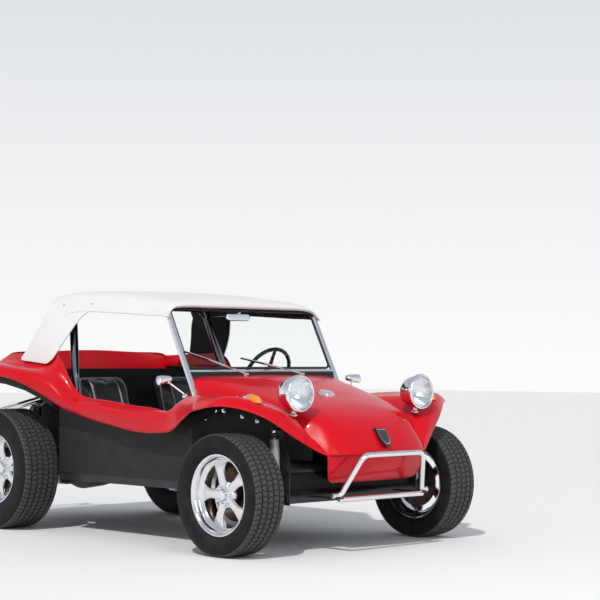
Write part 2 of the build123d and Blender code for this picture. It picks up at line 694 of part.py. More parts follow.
# Steering wheel, column, pedals and levers
slope = math.radians(COLUMN_SLOPE)
column_way = Vector(math.cos(slope), 0, -math.sin(slope))
wheel_plane = Plane(origin=(STEER_X, STEER_Y, STEER_Z), x_dir=(0, 1, 0), z_dir=column_way)
wheel = wheel_plane * Torus(STEER_R - STEER_RING_R, STEER_RING_R)
wheel += wheel_plane * Pos(0, 0, 18) * Cylinder(34, 36)
for turn in (0, 180, 270):
    spoke_bar = Pos((STEER_R - STEER_RING_R) / 2, 0, 4) * Box(STEER_R - STEER_RING_R, 26, 5)
    wheel += wheel_plane * Rot(0, 0, turn) * spoke_bar
keep("steering_wheel", wheel)
column_start = Vector(STEER_X, STEER_Y, STEER_Z) + column_way * (36 + SEAT_GAP)
column_end = Vector(STEER_X, STEER_Y, STEER_Z) + column_way * 1010
controls = rod(column_start, column_end, COLUMN_R)
lever = rod((-980, 0, TUNNEL_TOP_Z + 4), (-930, 0, 640), 6) + Pos(-926, 0, 655) * Sphere(20)
lever += Pos(-980, 0, TUNNEL_TOP_Z + SEAT_GAP + 4) * Cylinder(34, 8)
brake_lever = rod((-1240, 22, TUNNEL_TOP_Z + 14), (-1060, 22, 520), 8)
brake_lever += block((60, 30, 12), (-1230, 22, TUNNEL_TOP_Z + SEAT_GAP + 6))
keep("controls", Compound(children=[*controls.solids(), *lever.solids(), *brake_lever.solids()]))
column_hole = rod(column_start, column_end, COLUMN_R + SEAT_GAP)
made["dash"] = made["dash"] - column_hole
made["tub"] = made["tub"] - column_hole

# Lamps
bowl_profile = make_face(
    [
        Line((0, 0), (0, LAMP_R - 14)),
        Line((0, LAMP_R - 14), (16, LAMP_R - 10)),
        Line((16, LAMP_R - 10), (16, LAMP_R)),
        Line((16, LAMP_R), (-14, LAMP_R)),
        Line((-14, LAMP_R), (-14, LAMP_R - 8)),
        ThreePointArc((-14, LAMP_R - 8), (-100, LAMP_R * 0.62), (-LAMP_DEPTH, 18)),
        Line((-LAMP_DEPTH, 18), (-LAMP_DEPTH, 0)),
        Line((-LAMP_DEPTH, 0), (0, 0)),
    ]
)
bowl = Pos(LAMP_X - 16, LAMP_Y, LAMP_Z) * revolve(bowl_profile, axis=Axis.X)
stem = rod((LAMP_X - 60, LAMP_Y, LAMP_Z - 40), (LAMP_X - 60, LAMP_Y, LAMP_Z + 50), 11)
stem += Pos(LAMP_X - 60, LAMP_Y, LAMP_Z - 34) * Cylinder(18, 14)
bowl += seated(stem, fender, (0, 0, -1))
keep("headlamp_bowls", both(bowl))
lens_profile = make_face(
    [
        Line((SEAT_GAP, 0), (SEAT_GAP, LAMP_R - 16)),
        Line((SEAT_GAP, LAMP_R - 16), (10, LAMP_R - 16)),
        ThreePointArc((10, LAMP_R - 16), (LENS_MIDDLE, LAMP_R * 0.42), (LENS_CROWN, 6)),
        Line((LENS_CROWN, 6), (LENS_CROWN, 0)),
        Line((LENS_CROWN, 0), (SEAT_GAP, 0)),
    ]
)
keep("headlamp_lenses", both(Pos(LAMP_X - 16, LAMP_Y, LAMP_Z) * revolve(lens_profile, axis=Axis.X)))
signal = Box(150, 62, 60) & scale(Sphere(1), by=(75, 31, 34))
signal -= Pos(0, 0, -30) * Box(200, 100, 60)
signal = seated(Pos(85, 650, 830) * Rot(-4, 15, 0) * signal, fender, (0, 0, -1))
tail = Pos(-2546 - 14, 560, 806) * Rot(0, -90, 0) * Cylinder(46, 28)
keep("signal_lamps", Compound(children=[*both(signal).solids(), *both(tail).solids()]))

# Mirrors, wipers and badge
head = Pos(-531, 715, 880) * Rot(0, -14, -8) * fillet(Box(34, 112, 62).edges(), 9)
head += tube([(-474, 622, 812), (-505, 655, 840), (-526, 690, 868)], 6, 20)
inner_mirror = Pos(-728, 0, 1176) * Rot(0, -12, 0) * fillet(Box(20, 190, 48).edges(), 6)
inner_mirror += rod((-722, 0, 1184), (-712, 0, 1202), 6)
inner_mirror = seated(inner_mirror, frame_shape, (0.887, 0, 0.462))
head = seated(head, sill, (0, 0, -1))
keep("mirrors", Compound(children=[*both(head).solids(), inner_mirror]))


def wiper(pivot_y, tip_y, tip_h):
    """One arm and blade lying just ahead of the glass, from its pivot on the cowl."""
    pivot = (pivot_y, 2)
    middle = ((pivot_y + tip_y) / 2, (pivot[1] + tip_h) / 2)
    lift = POST_T / 2 + 23
    points = [screen.from_local_coords(Vector(a, b, lift)) for a, b in (pivot, (tip_y, tip_h))]
    arm = rod(points[0], points[1], 4)
    return seated(arm + Pos(*points[0]) * Cylinder(11, 24), hood, (0, 0, -1))


keep("wipers", Compound(children=[wiper(-174, -520, 150), wiper(253, -120, 150)]))
badge_line = Polyline((-38, 50), (38, 50), (36, -10), (0, -52), (-36, -10), close=True)
badge_plane = Plane(origin=(378, 0, 604), x_dir=(0, 1, 0), z_dir=(0.815, 0, 0.58))
badge = extrude(badge_plane * make_face(badge_line), 8)
keep("badge", seated(badge, hood, (-0.815, 0, -0.58)))

# Bumpers
low_y = 330.0
bracket_x = BEAM_X + BEAM_R + SEAT_GAP
hoop = [(368, -318, 300), (FRONT_REACH - TUBE_R, -216, 503), (FRONT_REACH - TUBE_R, 216, 503), (368, 318, 300)]
bumper = rod((364, -low_y, 289), (364, low_y, 289), TUBE_R) + tube(hoop, TUBE_R, 44)
for side in (-1, 1):
    bumper += block((364 - bracket_x, 44, 8), ((364 + bracket_x) / 2, side * 300, 285))
keep("front_bumper", bumper)
guard_x = -REAR_REACH + TUBE_R
guard_z = 372.0
carrier_rear = REAR_AXLE_X - 40
guard_front = carrier_rear - SEAT_GAP - 0.4
guard_side = [(guard_front, -490, guard_z), (guard_x, -430, guard_z)]
guard = tube(guard_side + [(x, -y, z) for x, y, z in reversed(guard_side)], TUBE_R, 90)
guard_loop = [(guard_x, -230, guard_z + 12), (guard_x, -230, 640), (guard_x, 230, 640), (guard_x, 230, guard_z + 12)]
guard += tube(guard_loop, TUBE_R, 70)
keep("rear_guard", guard)

# Gearbox, axle tubes, engine and exhaust
axle_z = REAR_TYRE_R
CASE_REAR_X = REAR_AXLE_X - 168
hub_in = MOUNT_Y["r"] - 58
gear_case = loft(
    [
        section_plane(PAN_REAR_X - 80) * Pos(0, axle_z) * Circle(70),
        section_plane(REAR_AXLE_X) * Pos(0, axle_z) * Circle(140),
        section_plane(CASE_REAR_X) * Pos(0, axle_z + 20) * Circle(185),
    ],
    ruled=True,
)
gear_case += rod((REAR_AXLE_X, -hub_in + 6, axle_z), (REAR_AXLE_X, hub_in - 6, axle_z), 36)
gear_case += rod((REAR_AXLE_X, -MOUNT_Y["r"] + 16, axle_z), (REAR_AXLE_X, MOUNT_Y["r"] - 16, axle_z), SPINDLE_R)
keep("transaxle", gear_case)
engine = block((330, 300, 300), (CASE_REAR_X - 165 - SEAT_GAP, 0, 370))
HEAD_X = CASE_REAR_X - 160
for side in (-1, 1):
    for x in (HEAD_X + 70, HEAD_X - 70):
        engine += rod((x, side * 140, 360), (x, side * 330, 360), 58)
    engine += block((260, 70, 110), (HEAD_X, side * 360, 360))
shroud = extrude(section_plane(HEAD_X - 60) * (Pos(0, 590) * RectangleRounded(560, 290, 100)), 120)
engine += shroud + rod((HEAD_X - 180, 0, 520), (HEAD_X - 60, 0, 520), 60)
engine += rod((HEAD_X - 230, 0, 424), (HEAD_X - 160, 0, 424), 62)
keep("engine", engine)
SILENCER_X = HEAD_X - 295
exhaust = rod((SILENCER_X, -300, 300), (SILENCER_X, 300, 300), 60)
for side in (-1, 1):
    port = [(HEAD_X, side * 360, 305 - SEAT_GAP), (HEAD_X, side * 360, 262), (SILENCER_X, side * 250, 262)]
    exhaust += tube(port, 20, 24)
    exhaust += rod((SILENCER_X + 5, side * 120, 280), (SILENCER_X - 135, side * 120, 250), 22)
keep("exhaust", exhaust)
plate_y = REAR_TRACK_Y - REAR_TYRE_W / 2 - 66.5
spring = rod((PAN_REAR_X - 20, -plate_y, 352), (PAN_REAR_X - 20, -470 - SEAT_GAP, 352), 45)
plate_x = (PAN_REAR_X + 20, REAR_AXLE_X - 38)
plate_line = Polyline((plate_x[0], 400), (plate_x[0], 310), (plate_x[1], 325), (plate_x[1], 380), close=True)
spring += extrude(Plane(origin=(0, -plate_y + 8, 0), x_dir=(1, 0, 0), z_dir=(0, -1, 0)) * make_face(plate_line), 8)
spring += block((80, 50, 100), (REAR_AXLE_X, -plate_y - 22, axle_z))
spring -= rod((REAR_AXLE_X, -plate_y - 112, axle_z), (REAR_AXLE_X, -plate_y + 88, axle_z), 36 + SEAT_GAP)
spring += rod((REAR_AXLE_X, -plate_y - 20, 400), (REAR_AXLE_X + 42, -plate_y - 20, 720), 30)
keep("rear_suspension", both(mirror(spring, about=Plane.XZ)))
for name, shape in made.items():
    export_step(shape.moved(Location((MIDDLE_X, 0, 0))), f"parts/{name}.step")
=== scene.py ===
"""Looks of the dune buggy: shell, hardtop, wheels, lamps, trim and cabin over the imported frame."""
import math
from contextlib import contextmanager

import bmesh
import bpy
import numpy as np
from mathutils import Matrix, Vector


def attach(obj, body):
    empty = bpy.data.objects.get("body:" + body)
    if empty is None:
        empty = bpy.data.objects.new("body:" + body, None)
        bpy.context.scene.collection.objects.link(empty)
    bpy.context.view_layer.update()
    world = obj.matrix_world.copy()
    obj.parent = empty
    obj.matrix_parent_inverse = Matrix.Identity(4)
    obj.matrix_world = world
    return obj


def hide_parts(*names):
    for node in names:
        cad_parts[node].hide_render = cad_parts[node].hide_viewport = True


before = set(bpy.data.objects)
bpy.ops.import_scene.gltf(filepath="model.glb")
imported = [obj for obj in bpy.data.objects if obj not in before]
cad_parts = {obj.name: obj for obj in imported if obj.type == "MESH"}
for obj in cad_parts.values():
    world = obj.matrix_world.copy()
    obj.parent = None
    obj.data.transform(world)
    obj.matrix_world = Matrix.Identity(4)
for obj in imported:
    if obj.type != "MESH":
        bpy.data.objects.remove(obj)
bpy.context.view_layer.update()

# Places, lengths and profiles are written in millimetres, and the mesh helpers turn them into metres

FRONT_AXLE_X = 1.192
TURN = 2 * math.pi
SIDES = (-1, 1)
AHEAD, LEFT, UP = Vector((1, 0, 0)), Vector((0, 1, 0)), Vector((0, 0, 1))
scene = bpy.context.scene


def car(x, y, z):
    """A point counted in millimetres from the front axle, moved into the shared frame."""
    return (x / 1000 + FRONT_AXLE_X, y / 1000, z / 1000)


def metres(points):
    return np.asarray(points, float) / 1000


def placed(name, data):
    """A new object in the scene."""
    made = bpy.data.objects.new(name, data)
    scene.collection.objects.link(made)
    return made


# Camera

view_data = bpy.data.cameras.new("photo_view")
view_data.sensor_width = 36.0
view_data.lens = 99.97
camera = placed("photo_view", view_data)
camera.location = (7.537, -6.308, 0.969)
camera.rotation_euler = (math.radians(92.20), 0.0, math.radians(46.24))
scene.camera = camera

# Shader helpers


def node(tree, kind, inputs=None, **props):
    """A node with its properties set, and its inputs set or linked."""
    made = tree.nodes.new(kind)
    for key, value in props.items():
        setattr(made, key, value)
    for key, value in (inputs or {}).items():
        if isinstance(value, bpy.types.NodeSocket):
            tree.links.new(value, made.inputs[key])
        else:
            made.inputs[key].default_value = value
    return made


def math_node(tree, operation, first, second):
    return node(tree, "ShaderNodeMath", {0: first, 1: second}, operation=operation).outputs[0]


def node_group(name, kind, inputs, outputs):
    """An empty node group; an input is given by its kind, or by its number where it is a float."""
    tree = bpy.data.node_groups.new(name, kind)
    for key, value in inputs.items():
        named = isinstance(value, str)
        socket = "NodeSocket" + (value if named else "Float")
        made = tree.interface.new_socket(key, in_out="INPUT", socket_type=socket)
        if not named:
            made.default_value = value
    for key, value in outputs.items():
        tree.interface.new_socket(key, in_out="OUTPUT", socket_type="NodeSocket" + value)
    return tree, tree.nodes.new("NodeGroupInput").outputs, tree.nodes.new("NodeGroupOutput").inputs


def dust_effect():
    """Dry dust: soft patches, more of it low down on the car."""
    inputs = {"Place": "Vector", "Scale": 6.0, "Amount": 0.3, "Top": 0.7}
    tree, given, out = node_group("salt_dust", "ShaderNodeTree", inputs, {"Mask": "Float"})
    inputs = {"Vector": given["Place"], "Scale": given["Scale"], "Detail": 8.0}
    noise = node(tree, "ShaderNodeTexNoise", inputs)
    patch = node(tree, "ShaderNodeMapRange", {0: noise.outputs["Fac"], 1: 0.42, 2: 0.75})
    split = node(tree, "ShaderNodeSeparateXYZ", {0: given["Place"]})
    low = node(tree, "ShaderNodeMapRange", {0: split.outputs["Z"], 1: 0.0, 2: given["Top"], 3: 1.0, 4: 0.15})
    both = math_node(tree, "MULTIPLY", patch.outputs[0], low.outputs[0])
    tree.links.new(math_node(tree, "MULTIPLY", both, given["Amount"]), out["Mask"])
    return tree


def grain_effect():
    """A fine pebbled height, with a slow change of level under it."""
    inputs = {"Place": "Vector", "Scale": 400.0, "Slow": 20.0}
    tree, given, out = node_group("grain", "ShaderNodeTree", inputs, {"Height": "Float", "Slow": "Float"})
    fast = {"Vector": given["Place"], "Scale": given["Scale"]}
    cells = node(tree, "ShaderNodeTexVoronoi", fast, feature="SMOOTH_F1")
    fine = node(tree, "ShaderNodeTexNoise", {**fast, "Detail": 6.0})
    slow = node(tree, "ShaderNodeTexNoise", {"Vector": given["Place"], "Scale": given["Slow"], "Detail": 4.0})
    tree.links.new(math_node(tree, "ADD", cells.outputs["Distance"], fine.outputs["Fac"]), out["Height"])
    tree.links.new(slow.outputs["Fac"], out["Slow"])
    return tree


DUST = dust_effect()
GRAIN = grain_effect()
SALT = (0.55, 0.52, 0.48)


class Finish:
    """One material with a Principled surface, and the effects laid over it."""

    def __init__(self, name, color, rough, metal=0.0, coat=0.0, coat_rough=0.03, **more):
        self.material = bpy.data.materials.new(name)
        self.material.use_nodes = True
        self.tree = self.material.node_tree
        self.surface = self.tree.nodes["Principled BSDF"]
        self.set("Base Color", (*color, 1.0))
        self.set("Roughness", rough)
        self.set("Metallic", metal)
        self.set("Coat Weight", coat)
        self.set("Coat Roughness", coat_rough)
        for key, value in more.items():
            self.set(key.replace("_", " "), value)
        self.color, self.rough = color, rough
        self.place = self.tree.nodes.new("ShaderNodeTexCoord").outputs["Object"]

    def set(self, socket, value):
        self.surface.inputs[socket].default_value = value

    def effect(self, group, **inputs):
        made = node(self.tree, "ShaderNodeGroup", node_tree=group)
        self.tree.links.new(self.place, made.inputs["Place"])
        for key, value in inputs.items():
            made.inputs[key].default_value = value
        return made.outputs

    def shade(self, mask, dark, light):
        """Colour from one shade to another by a mask."""
        inputs = {0: mask, 6: (*dark, 1.0), 7: (*light, 1.0)}
        mix = node(self.tree, "ShaderNodeMix", inputs, data_type="RGBA")
        self.tree.links.new(mix.outputs[2], self.surface.inputs["Base Color"])

    def bump(self, height, depth, strength=1.0):
        made = node(self.tree, "ShaderNodeBump", {"Height": height, "Distance": depth, "Strength": strength})
        self.tree.links.new(made.outputs[0], self.surface.inputs["Normal"])

    def dusty(self, amount, scale, top=0.7):
        """Lay dust over it: paler and rougher where it lies."""
        mask = self.effect(DUST, Amount=amount, Scale=scale, Top=top)["Mask"]
        self.shade(mask, self.color, SALT)
        levels = {0: mask, 1: 0.0, 2: 1.0, 3: self.rough, 4: min(1.0, self.rough + 0.35)}
        level = node(self.tree, "ShaderNodeMapRange", levels)
        self.tree.links.new(level.outputs[0], self.surface.inputs["Roughness"])
        return self

    def grained(self, scale, depth, slow=20.0, tone=0.0):
        """Give it a fine pebble, and a slow change of its colour."""
        made = self.effect(GRAIN, Scale=scale, Slow=slow)
        self.bump(made["Height"], depth)
        if tone:
            low, high = ([min(1.0, c * (1 + change)) for c in self.color] for change in (-tone, tone))
            self.shade(made["Slow"], low, high)
        return self


RED = Finish("red_gelcoat", (0.60, 0.001, 0.010), 0.30, coat=0.32, Specular_IOR_Level=0.12).dusty(0.012, 9.0)
UNDERCOAT = Finish("black_undercoat", (0.012, 0.011, 0.011), 0.80).grained(260.0, 0.0006, 14.0, 0.3)
# A brighter copy of the outside red: painted light, so that the shaded walls in the cabin and the coaming
# look sunlit
RED_INSIDE_PAINTED_LIT = Finish("red_inner_panel_painted_lit", (0.85, 0.002, 0.008), 0.45, coat=0.15, coat_rough=0.2)
RED_INSIDE_PAINTED_LIT.grained(260.0, 0.0002, 8.0, 0.08)
WHITE = Finish("white_gelcoat", (0.80, 0.80, 0.79), 0.42, coat=0.2, coat_rough=0.2)
WHITE.grained(520.0, 0.00012, 3.0, 0.02)
LINING = Finish("black_lining", (0.018, 0.018, 0.02), 0.85).grained(700.0, 0.0004, 30.0, 0.2)
PANEL = Finish("black_texture_coat", (0.014, 0.0135, 0.0135), 0.62, Specular_IOR_Level=0.4)
PANEL.grained(150.0, 0.0022, 16.0, 0.6)
PAN_BLACK = Finish("chassis_black", (0.010, 0.010, 0.011), 0.38).dusty(0.08, 8.0, 0.5)
TIDY_BLACK = Finish("satin_black", (0.016, 0.016, 0.018), 0.38).grained(600.0, 0.0001, 12.0, 0.2)
CHROME = Finish("chrome_plate", (0.86, 0.87, 0.89), 0.05, 1.0).dusty(0.06, 14.0, 1.4)
ALLOY = Finish("polished_alloy", (0.83, 0.84, 0.86), 0.12, 1.0).dusty(0.10, 12.0, 0.6)
# A dark copy of chrome for the roll hoop: painted shade for the hoop in shadow under the hardtop
CHROME_IN_PAINTED_SHADE = Finish("roll_chrome_painted_shade", (0.16, 0.18, 0.21), 0.18, 1.0).dusty(0.06, 12.0, 1.4)
CAST = Finish("cast_case", (0.30, 0.30, 0.31), 0.5, 0.9).grained(300.0, 0.0006, 12.0, 0.25)
RUST_DISC = Finish("brake_disc", (0.085, 0.056, 0.040), 0.42, 0.85).grained(260.0, 0.0003, 25.0, 0.45)
GREY = Finish("grey_enamel", (0.36, 0.38, 0.39), 0.35, 0.3).grained(500.0, 0.0001, 14.0, 0.15)
STEEL = Finish("exhaust_steel", (0.34, 0.33, 0.32), 0.35, 1.0).grained(200.0, 0.0002, 8.0, 0.3)
RUBBER = Finish("tyre_rubber", (0.008, 0.008, 0.009), 0.62, Specular_IOR_Level=0.18).dusty(0.03, 16.0, 0.8)
TREAD = Finish("tread_rubber", (0.050, 0.050, 0.051), 0.70, Specular_IOR_Level=0.4).dusty(0.05, 110.0, 2.0)
GUM = Finish("black_gasket", (0.014, 0.014, 0.015), 0.55).grained(900.0, 0.0001)
VINYL = Finish("black_vinyl", (0.016, 0.016, 0.019), 0.34, coat=0.15, coat_rough=0.25)
VINYL.grained(900.0, 0.0003, 15.0, 0.25)
# Pale grey: the dial ticks' own print, and on the seats' welts a painted highlight
PALE_TICKS_AND_WELT_HIGHLIGHT = Finish("pale_ticks_and_welt_highlight", (0.36, 0.36, 0.37), 0.45).grained(900.0, 0.0001)
GRIP = Finish("wheel_grip", (0.018, 0.019, 0.021), 0.42).grained(700.0, 0.0002, 20.0, 0.2)
AMBER = Finish("amber_lens", (0.90, 0.24, 0.01), 0.12, coat=0.6).grained(60.0, 0.0003)
RUBY = Finish("red_lens", (0.55, 0.004, 0.006), 0.12, coat=0.6).grained(60.0, 0.0003)
BADGE_BLACK = Finish("badge_enamel", (0.010, 0.012, 0.018), 0.12, coat=1.0).grained(200.0, 0.0001)
DIAL = Finish("dial_face", (0.03, 0.03, 0.03), 0.35).grained(300.0, 0.0001)
REFLECTOR = Finish("lamp_reflector", (0.92, 0.93, 0.94), 0.12, 1.0).grained(30.0, 0.0003)
SCREEN_GLASS = Finish("screen_glass", (0.93, 0.96, 0.96), 0.0, Transmission_Weight=1.0, IOR=1.05)
SCREEN_GLASS.grained(12.0, 0.00002)
LAMP_GLASS = Finish("lamp_glass", (0.95, 0.97, 0.98), 0.02, Transmission_Weight=1.0, IOR=1.3)
pressed_ribs = {"Vector": LAMP_GLASS.place, "Scale": 26.0, "Distortion": 0.4}
pressed_ribs = node(LAMP_GLASS.tree, "ShaderNodeTexWave", pressed_ribs, bands_direction="Y")
LAMP_GLASS.bump(pressed_ribs.outputs["Fac"], 0.0012, 0.6)

# Mesh helpers


@contextmanager
def edited(obj):
    """The object's mesh opened for editing, and written back at the end."""
    work = bmesh.new()
    work.from_mesh(obj.data)
    yield work
    work.to_mesh(obj.data)
    work.free()


def piece(verts, faces, finish, smooth=True):
    """A mesh object from points and faces, with its finish."""
    mesh = bpy.data.meshes.new("part")
    mesh.from_pydata([tuple(v) for v in verts], [], [tuple(f) for f in faces], shade_flat=not smooth)
    mesh.update()
    mesh.materials.append(finish.material)
    return placed("part", mesh)


def cleaned(obj, merge=0.0001, angle=None):
    """Merge doubled points and turn all faces outwards; sharp edges over the angle stay crisp."""
    with edited(obj) as work:
        bmesh.ops.remove_doubles(work, verts=work.verts, dist=merge)
        bmesh.ops.dissolve_degenerate(work, dist=merge, edges=work.edges)
        bmesh.ops.recalc_face_normals(work, faces=work.faces)
        for edge in work.edges if angle is not None else ():
            if len(edge.link_faces) == 2 and edge.calc_face_angle(0.0) > math.radians(angle):
                edge.smooth = False
    return obj


def grid(points, finish, closed_u=False, closed_v=False):
    """A surface through a table of points."""
    table = np.asarray(points, float)
    nu, nv = table.shape[:2]
    faces = []
    for i in range(nu if closed_u else nu - 1):
        for j in range(nv if closed_v else nv - 1):
            a, b = (i + 1) % nu, (j + 1) % nv
            faces.append((i * nv + j, a * nv + j, a * nv + b, i * nv + b))
    return piece(table.reshape(-1, 3), faces, finish)


def spread(points):
    """Knots along points, by the root of their distances."""
    steps = np.maximum(np.sqrt(np.linalg.norm(np.diff(points, axis=0), axis=1)), 1e-6)
    return np.concatenate([[0.0], np.cumsum(steps)])


def through(points, count, knots=None):
    """Points along a natural cubic curve through the given ones: a number of them, or at given places."""
    table = np.asarray(points, float)
    n = len(table)
    knots = spread(table) if knots is None else knots
    h = np.diff(knots)
    system = np.eye(n)
    right = np.zeros_like(table)
    for i in range(1, n - 1):
        system[i, i - 1 : i + 2] = (h[i - 1], 2 * (h[i - 1] + h[i]), h[i])
        right[i] = 6 * ((table[i + 1] - table[i]) / h[i] - (table[i] - table[i - 1]) / h[i - 1])
    second = np.linalg.solve(system, right)
    where = np.linspace(knots[0], knots[-1], count) if np.isscalar(count) else count
    at = np.clip(np.searchsorted(knots, where, side="right") - 1, 0, n - 2)
    t = (where - knots[at])[:, None]
    left, step = table[at], h[at][:, None]
    slope = (table[at + 1] - left) / step - step * (2 * second[at] + second[at + 1]) / 6
    return left + slope * t + second[at] * t**2 / 2 + (second[at + 1] - second[at]) * t**3 / (6 * step)


def surface(rows, nu, nv):
    """A smooth table of points through a small one: first across each row, then along the rows."""
    across = np.array([through(row, nv) for row in rows])
    knots = spread(np.asarray(rows, float).mean(axis=1))
    where = np.linspace(knots[0], knots[-1], nu)
    return np.stack([through(across[:, j], where, knots) for j in range(nv)], axis=1)


def rounded(points, bend, steps=8):
    """Straight runs with each inner corner rounded by an arc of the bend radius."""
    pts = [Vector(p) for p in points]
    out = [pts[0]]
    for before, here, after in zip(pts, pts[1:], pts[2:]):
        a, b = (before - here).normalized(), (after - here).normalized()
        half = a.angle(b) / 2
        reach = min(bend / math.tan(half), 0.48 * (before - here).length, 0.48 * (after - here).length)
        radius = reach * math.tan(half)
        centre = here + (a + b).normalized() * (radius / math.sin(half))
        u = (here + a * reach - centre).normalized()
        w = (here + b * reach - centre).normalized()
        v = (w - u * u.dot(w)).normalized()
        for k in range(steps + 1):
            t = (math.pi - 2 * half) * k / steps
            out.append(centre + (u * math.cos(t) + v * math.sin(t)) * radius)
    return out + [pts[-1]]


def swept(path, profile, finish, up=UP, closed=False, sizes=None):
    """Sweep a flat profile (across, up) along a path, without twist."""
    pts = [Vector(p) for p in path]
    n, m = len(pts), len(profile)
    ways = []
    for i in range(n):
        before = pts[i - 1] if (i or closed) else pts[i]
        after = pts[(i + 1) % n] if (i + 1 < n or closed) else pts[i]
        ways.append((after - before).normalized())
    side = ways[0].cross(up)
    if side.length < 1e-4:
        side = ways[0].cross(AHEAD)
    side.normalize()
    verts = []
    for i in range(n):
        if i:
            side = ways[i - 1].rotation_difference(ways[i]) @ side
        side = (side - ways[i] * side.dot(ways[i])).normalized()
        top = side.cross(ways[i])
        size = sizes[i] if sizes else 1.0
        verts += [pts[i] + side * (a * size) + top * (b * size) for a, b in profile]
    faces = []
    for i in range(n if closed else n - 1):
        for j in range(m):
            a, b = (i + 1) % n, (j + 1) % m
            faces.append((i * m + j, i * m + b, a * m + b, a * m + j))
    if not closed:
        faces += [range(m), [(n - 1) * m + j for j in reversed(range(m))]]
    return cleaned(piece(verts, faces, finish), 1e-6, 50)


def angles(count):
    return [TURN * k / count for k in range(count)]


def bulge(value, power):
    """A signed power, which squares off a circle's sine or cosine."""
    return math.copysign(abs(value) ** power, value)


def circle(radius, count=20):
    return [(radius * math.cos(a) / 1000, radius * math.sin(a) / 1000) for a in angles(count)]


def bar(width, height, soft, steps=4):
    """A rectangle profile with rounded corners."""
    out = []
    for sx, sy, start in ((1, 1, 0), (-1, 1, 90), (-1, -1, 180), (1, -1, 270)):
        cx, cy = sx * (width / 2 - soft), sy * (height / 2 - soft)
        for k in range(steps + 1):
            a = math.radians(start + 90 * k / steps)
            out.append(((cx + soft * math.cos(a)) / 1000, (cy + soft * math.sin(a)) / 1000))
    return out


def pipe(points, radius, finish, bend, count=20):
    path = rounded(points, bend / 1000) if len(points) > 2 else points
    return swept(path, circle(radius, count), finish)


def turned(profile, finish, axis, centre=(0, 0, 0), count=64, bend=0.0, steps=2, ends="core", sharp=40):
    """A part turned from a profile of (radius, along), its corners rounded by the bend.

    Each end runs in to a core of 0.3 mm unless it is there already; or the ends meet in a ring, or stay open.
    """
    if ends == "core":
        first, last = ([(0.3, h)] if r > 1 else [] for r, h in (profile[0], profile[-1]))
        profile = [*first, *profile, *last]
    elif ends == "ring":
        profile = [*profile, profile[0]]
    if bend:
        profile = [p[:2] for p in rounded([(r, h, 0.0) for r, h in profile], bend, steps)]
    way = Vector(axis).normalized()
    side = way.orthogonal().normalized()
    other = way.cross(side)
    rows = []
    for a in angles(count):
        out = side * math.cos(a) + other * math.sin(a)
        rows.append([Vector(centre) + out * (r / 1000) + way * (h / 1000) for r, h in profile])
    return cleaned(grid(rows, finish, closed_u=True), 1e-5, sharp)


def plate(outline, lift, thickness, finish):
    """A flat plate from a closed outline, standing up from its plane by its thickness."""
    low = [Vector(p) for p in outline]
    n = len(low)
    faces = [range(n), range(2 * n - 1, n - 1, -1)]
    faces += [(j, n + j, n + (j + 1) % n, (j + 1) % n) for j in range(n)]
    high = [p + Vector(lift) * (thickness / 1000) for p in low]
    return cleaned(piece(low + high, faces, finish), 1e-6, 40)


def joined(name, parts):
    """Several pieces made one object."""
    if len(parts) > 1:
        with bpy.context.temp_override(active_object=parts[0], selected_editable_objects=parts):
            bpy.ops.object.join()
    parts[0].name = parts[0].data.name = name
    return parts[0]


def doubled(obj):
    """The mesh plus its mirror image across the middle of the car, in one object."""
    with edited(obj) as work:
        other = bmesh.ops.duplicate(work, geom=work.verts[:] + work.edges[:] + work.faces[:])["geom"]
        verts = [g for g in other if isinstance(g, bmesh.types.BMVert)]
        bmesh.ops.scale(work, vec=(1, -1, 1), verts=verts)
        bmesh.ops.reverse_faces(work, faces=[g for g in other if isinstance(g, bmesh.types.BMFace)])
    return obj


def capped(obj):
    """Close the open ends of a tube-like sheet."""
    with edited(obj) as work:
        bmesh.ops.holes_fill(work, edges=work.edges, sides=0)
    return obj


def moved(obj, matrix):
    """Move the mesh by a matrix, or by a vector."""
    obj.data.transform(matrix if isinstance(matrix, Matrix) else Matrix.Translation(matrix))
    obj.data.update()
    return obj


def baked(obj):
    """Turn an object's modifiers into plain mesh."""
    bpy.context.view_layer.update()
    mesh = bpy.data.meshes.new_from_object(obj.evaluated_get(bpy.context.evaluated_depsgraph_get()))
    obj.modifiers.clear()
    obj.data = mesh
    return obj


def walled(obj, thickness, inner=None, offset=0.0, bevel=0.0):
    """Give a sheet its wall, the inner side in another finish."""
    solid = obj.modifiers.new("wall", "SOLIDIFY")
    solid.thickness = thickness / 1000
    solid.offset = offset
    solid.use_even_offset = solid.use_quality_normals = True
    if inner:
        obj.data.materials.append(inner.material)
        solid.material_offset = 1
    if bevel:
        edge = obj.modifiers.new("edge", "BEVEL")
        edge.width = bevel / 1000
        edge.segments = 2
        edge.limit_method = "ANGLE"
        edge.angle_limit = math.radians(50)
    return baked(obj)


def outward(obj, centre):
    """Turn each connected sheet so that it faces away from a point."""
    with edited(obj) as work:
        bmesh.ops.remove_doubles(work, verts=work.verts, dist=0.0015)
        bmesh.ops.recalc_face_normals(work, faces=work.faces)
        work.faces.ensure_lookup_table()
        seen = set()
        for first in work.faces:
            if first.index in seen:
                continue
            island, heap = [], [first]
            seen.add(first.index)
            while heap:
                face = heap.pop()
                island.append(face)
                for near in {f for edge in face.edges for f in edge.link_faces if f.index not in seen}:
                    seen.add(near.index)
                    heap.append(near)
            away = ((f.calc_center_median() - Vector(centre)).dot(f.normal) * f.calc_area() for f in island)
            if sum(away) < 0:
                bmesh.ops.reverse_faces(work, faces=island)
    return obj


def fit(name, parts, slot, *replaced, body="root"):
    """Finished piece, joined from its parts: it rides on a body and stands for CAD nodes; its slot is not
    used.
    """
    made = joined(name, parts)
    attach(made, body)
    if replaced:
        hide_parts(*replaced)
    return made


# Repeats made with geometry nodes


def copy_tree(name, inputs):
    """An empty geometry tree that takes a shape and a finish."""
    inputs = {"Geometry": "Geometry", "Shape": "Object", "Finish": "Material", **inputs}
    return node_group(name, "GeometryNodeTree", inputs, {"Geometry": "Geometry"})


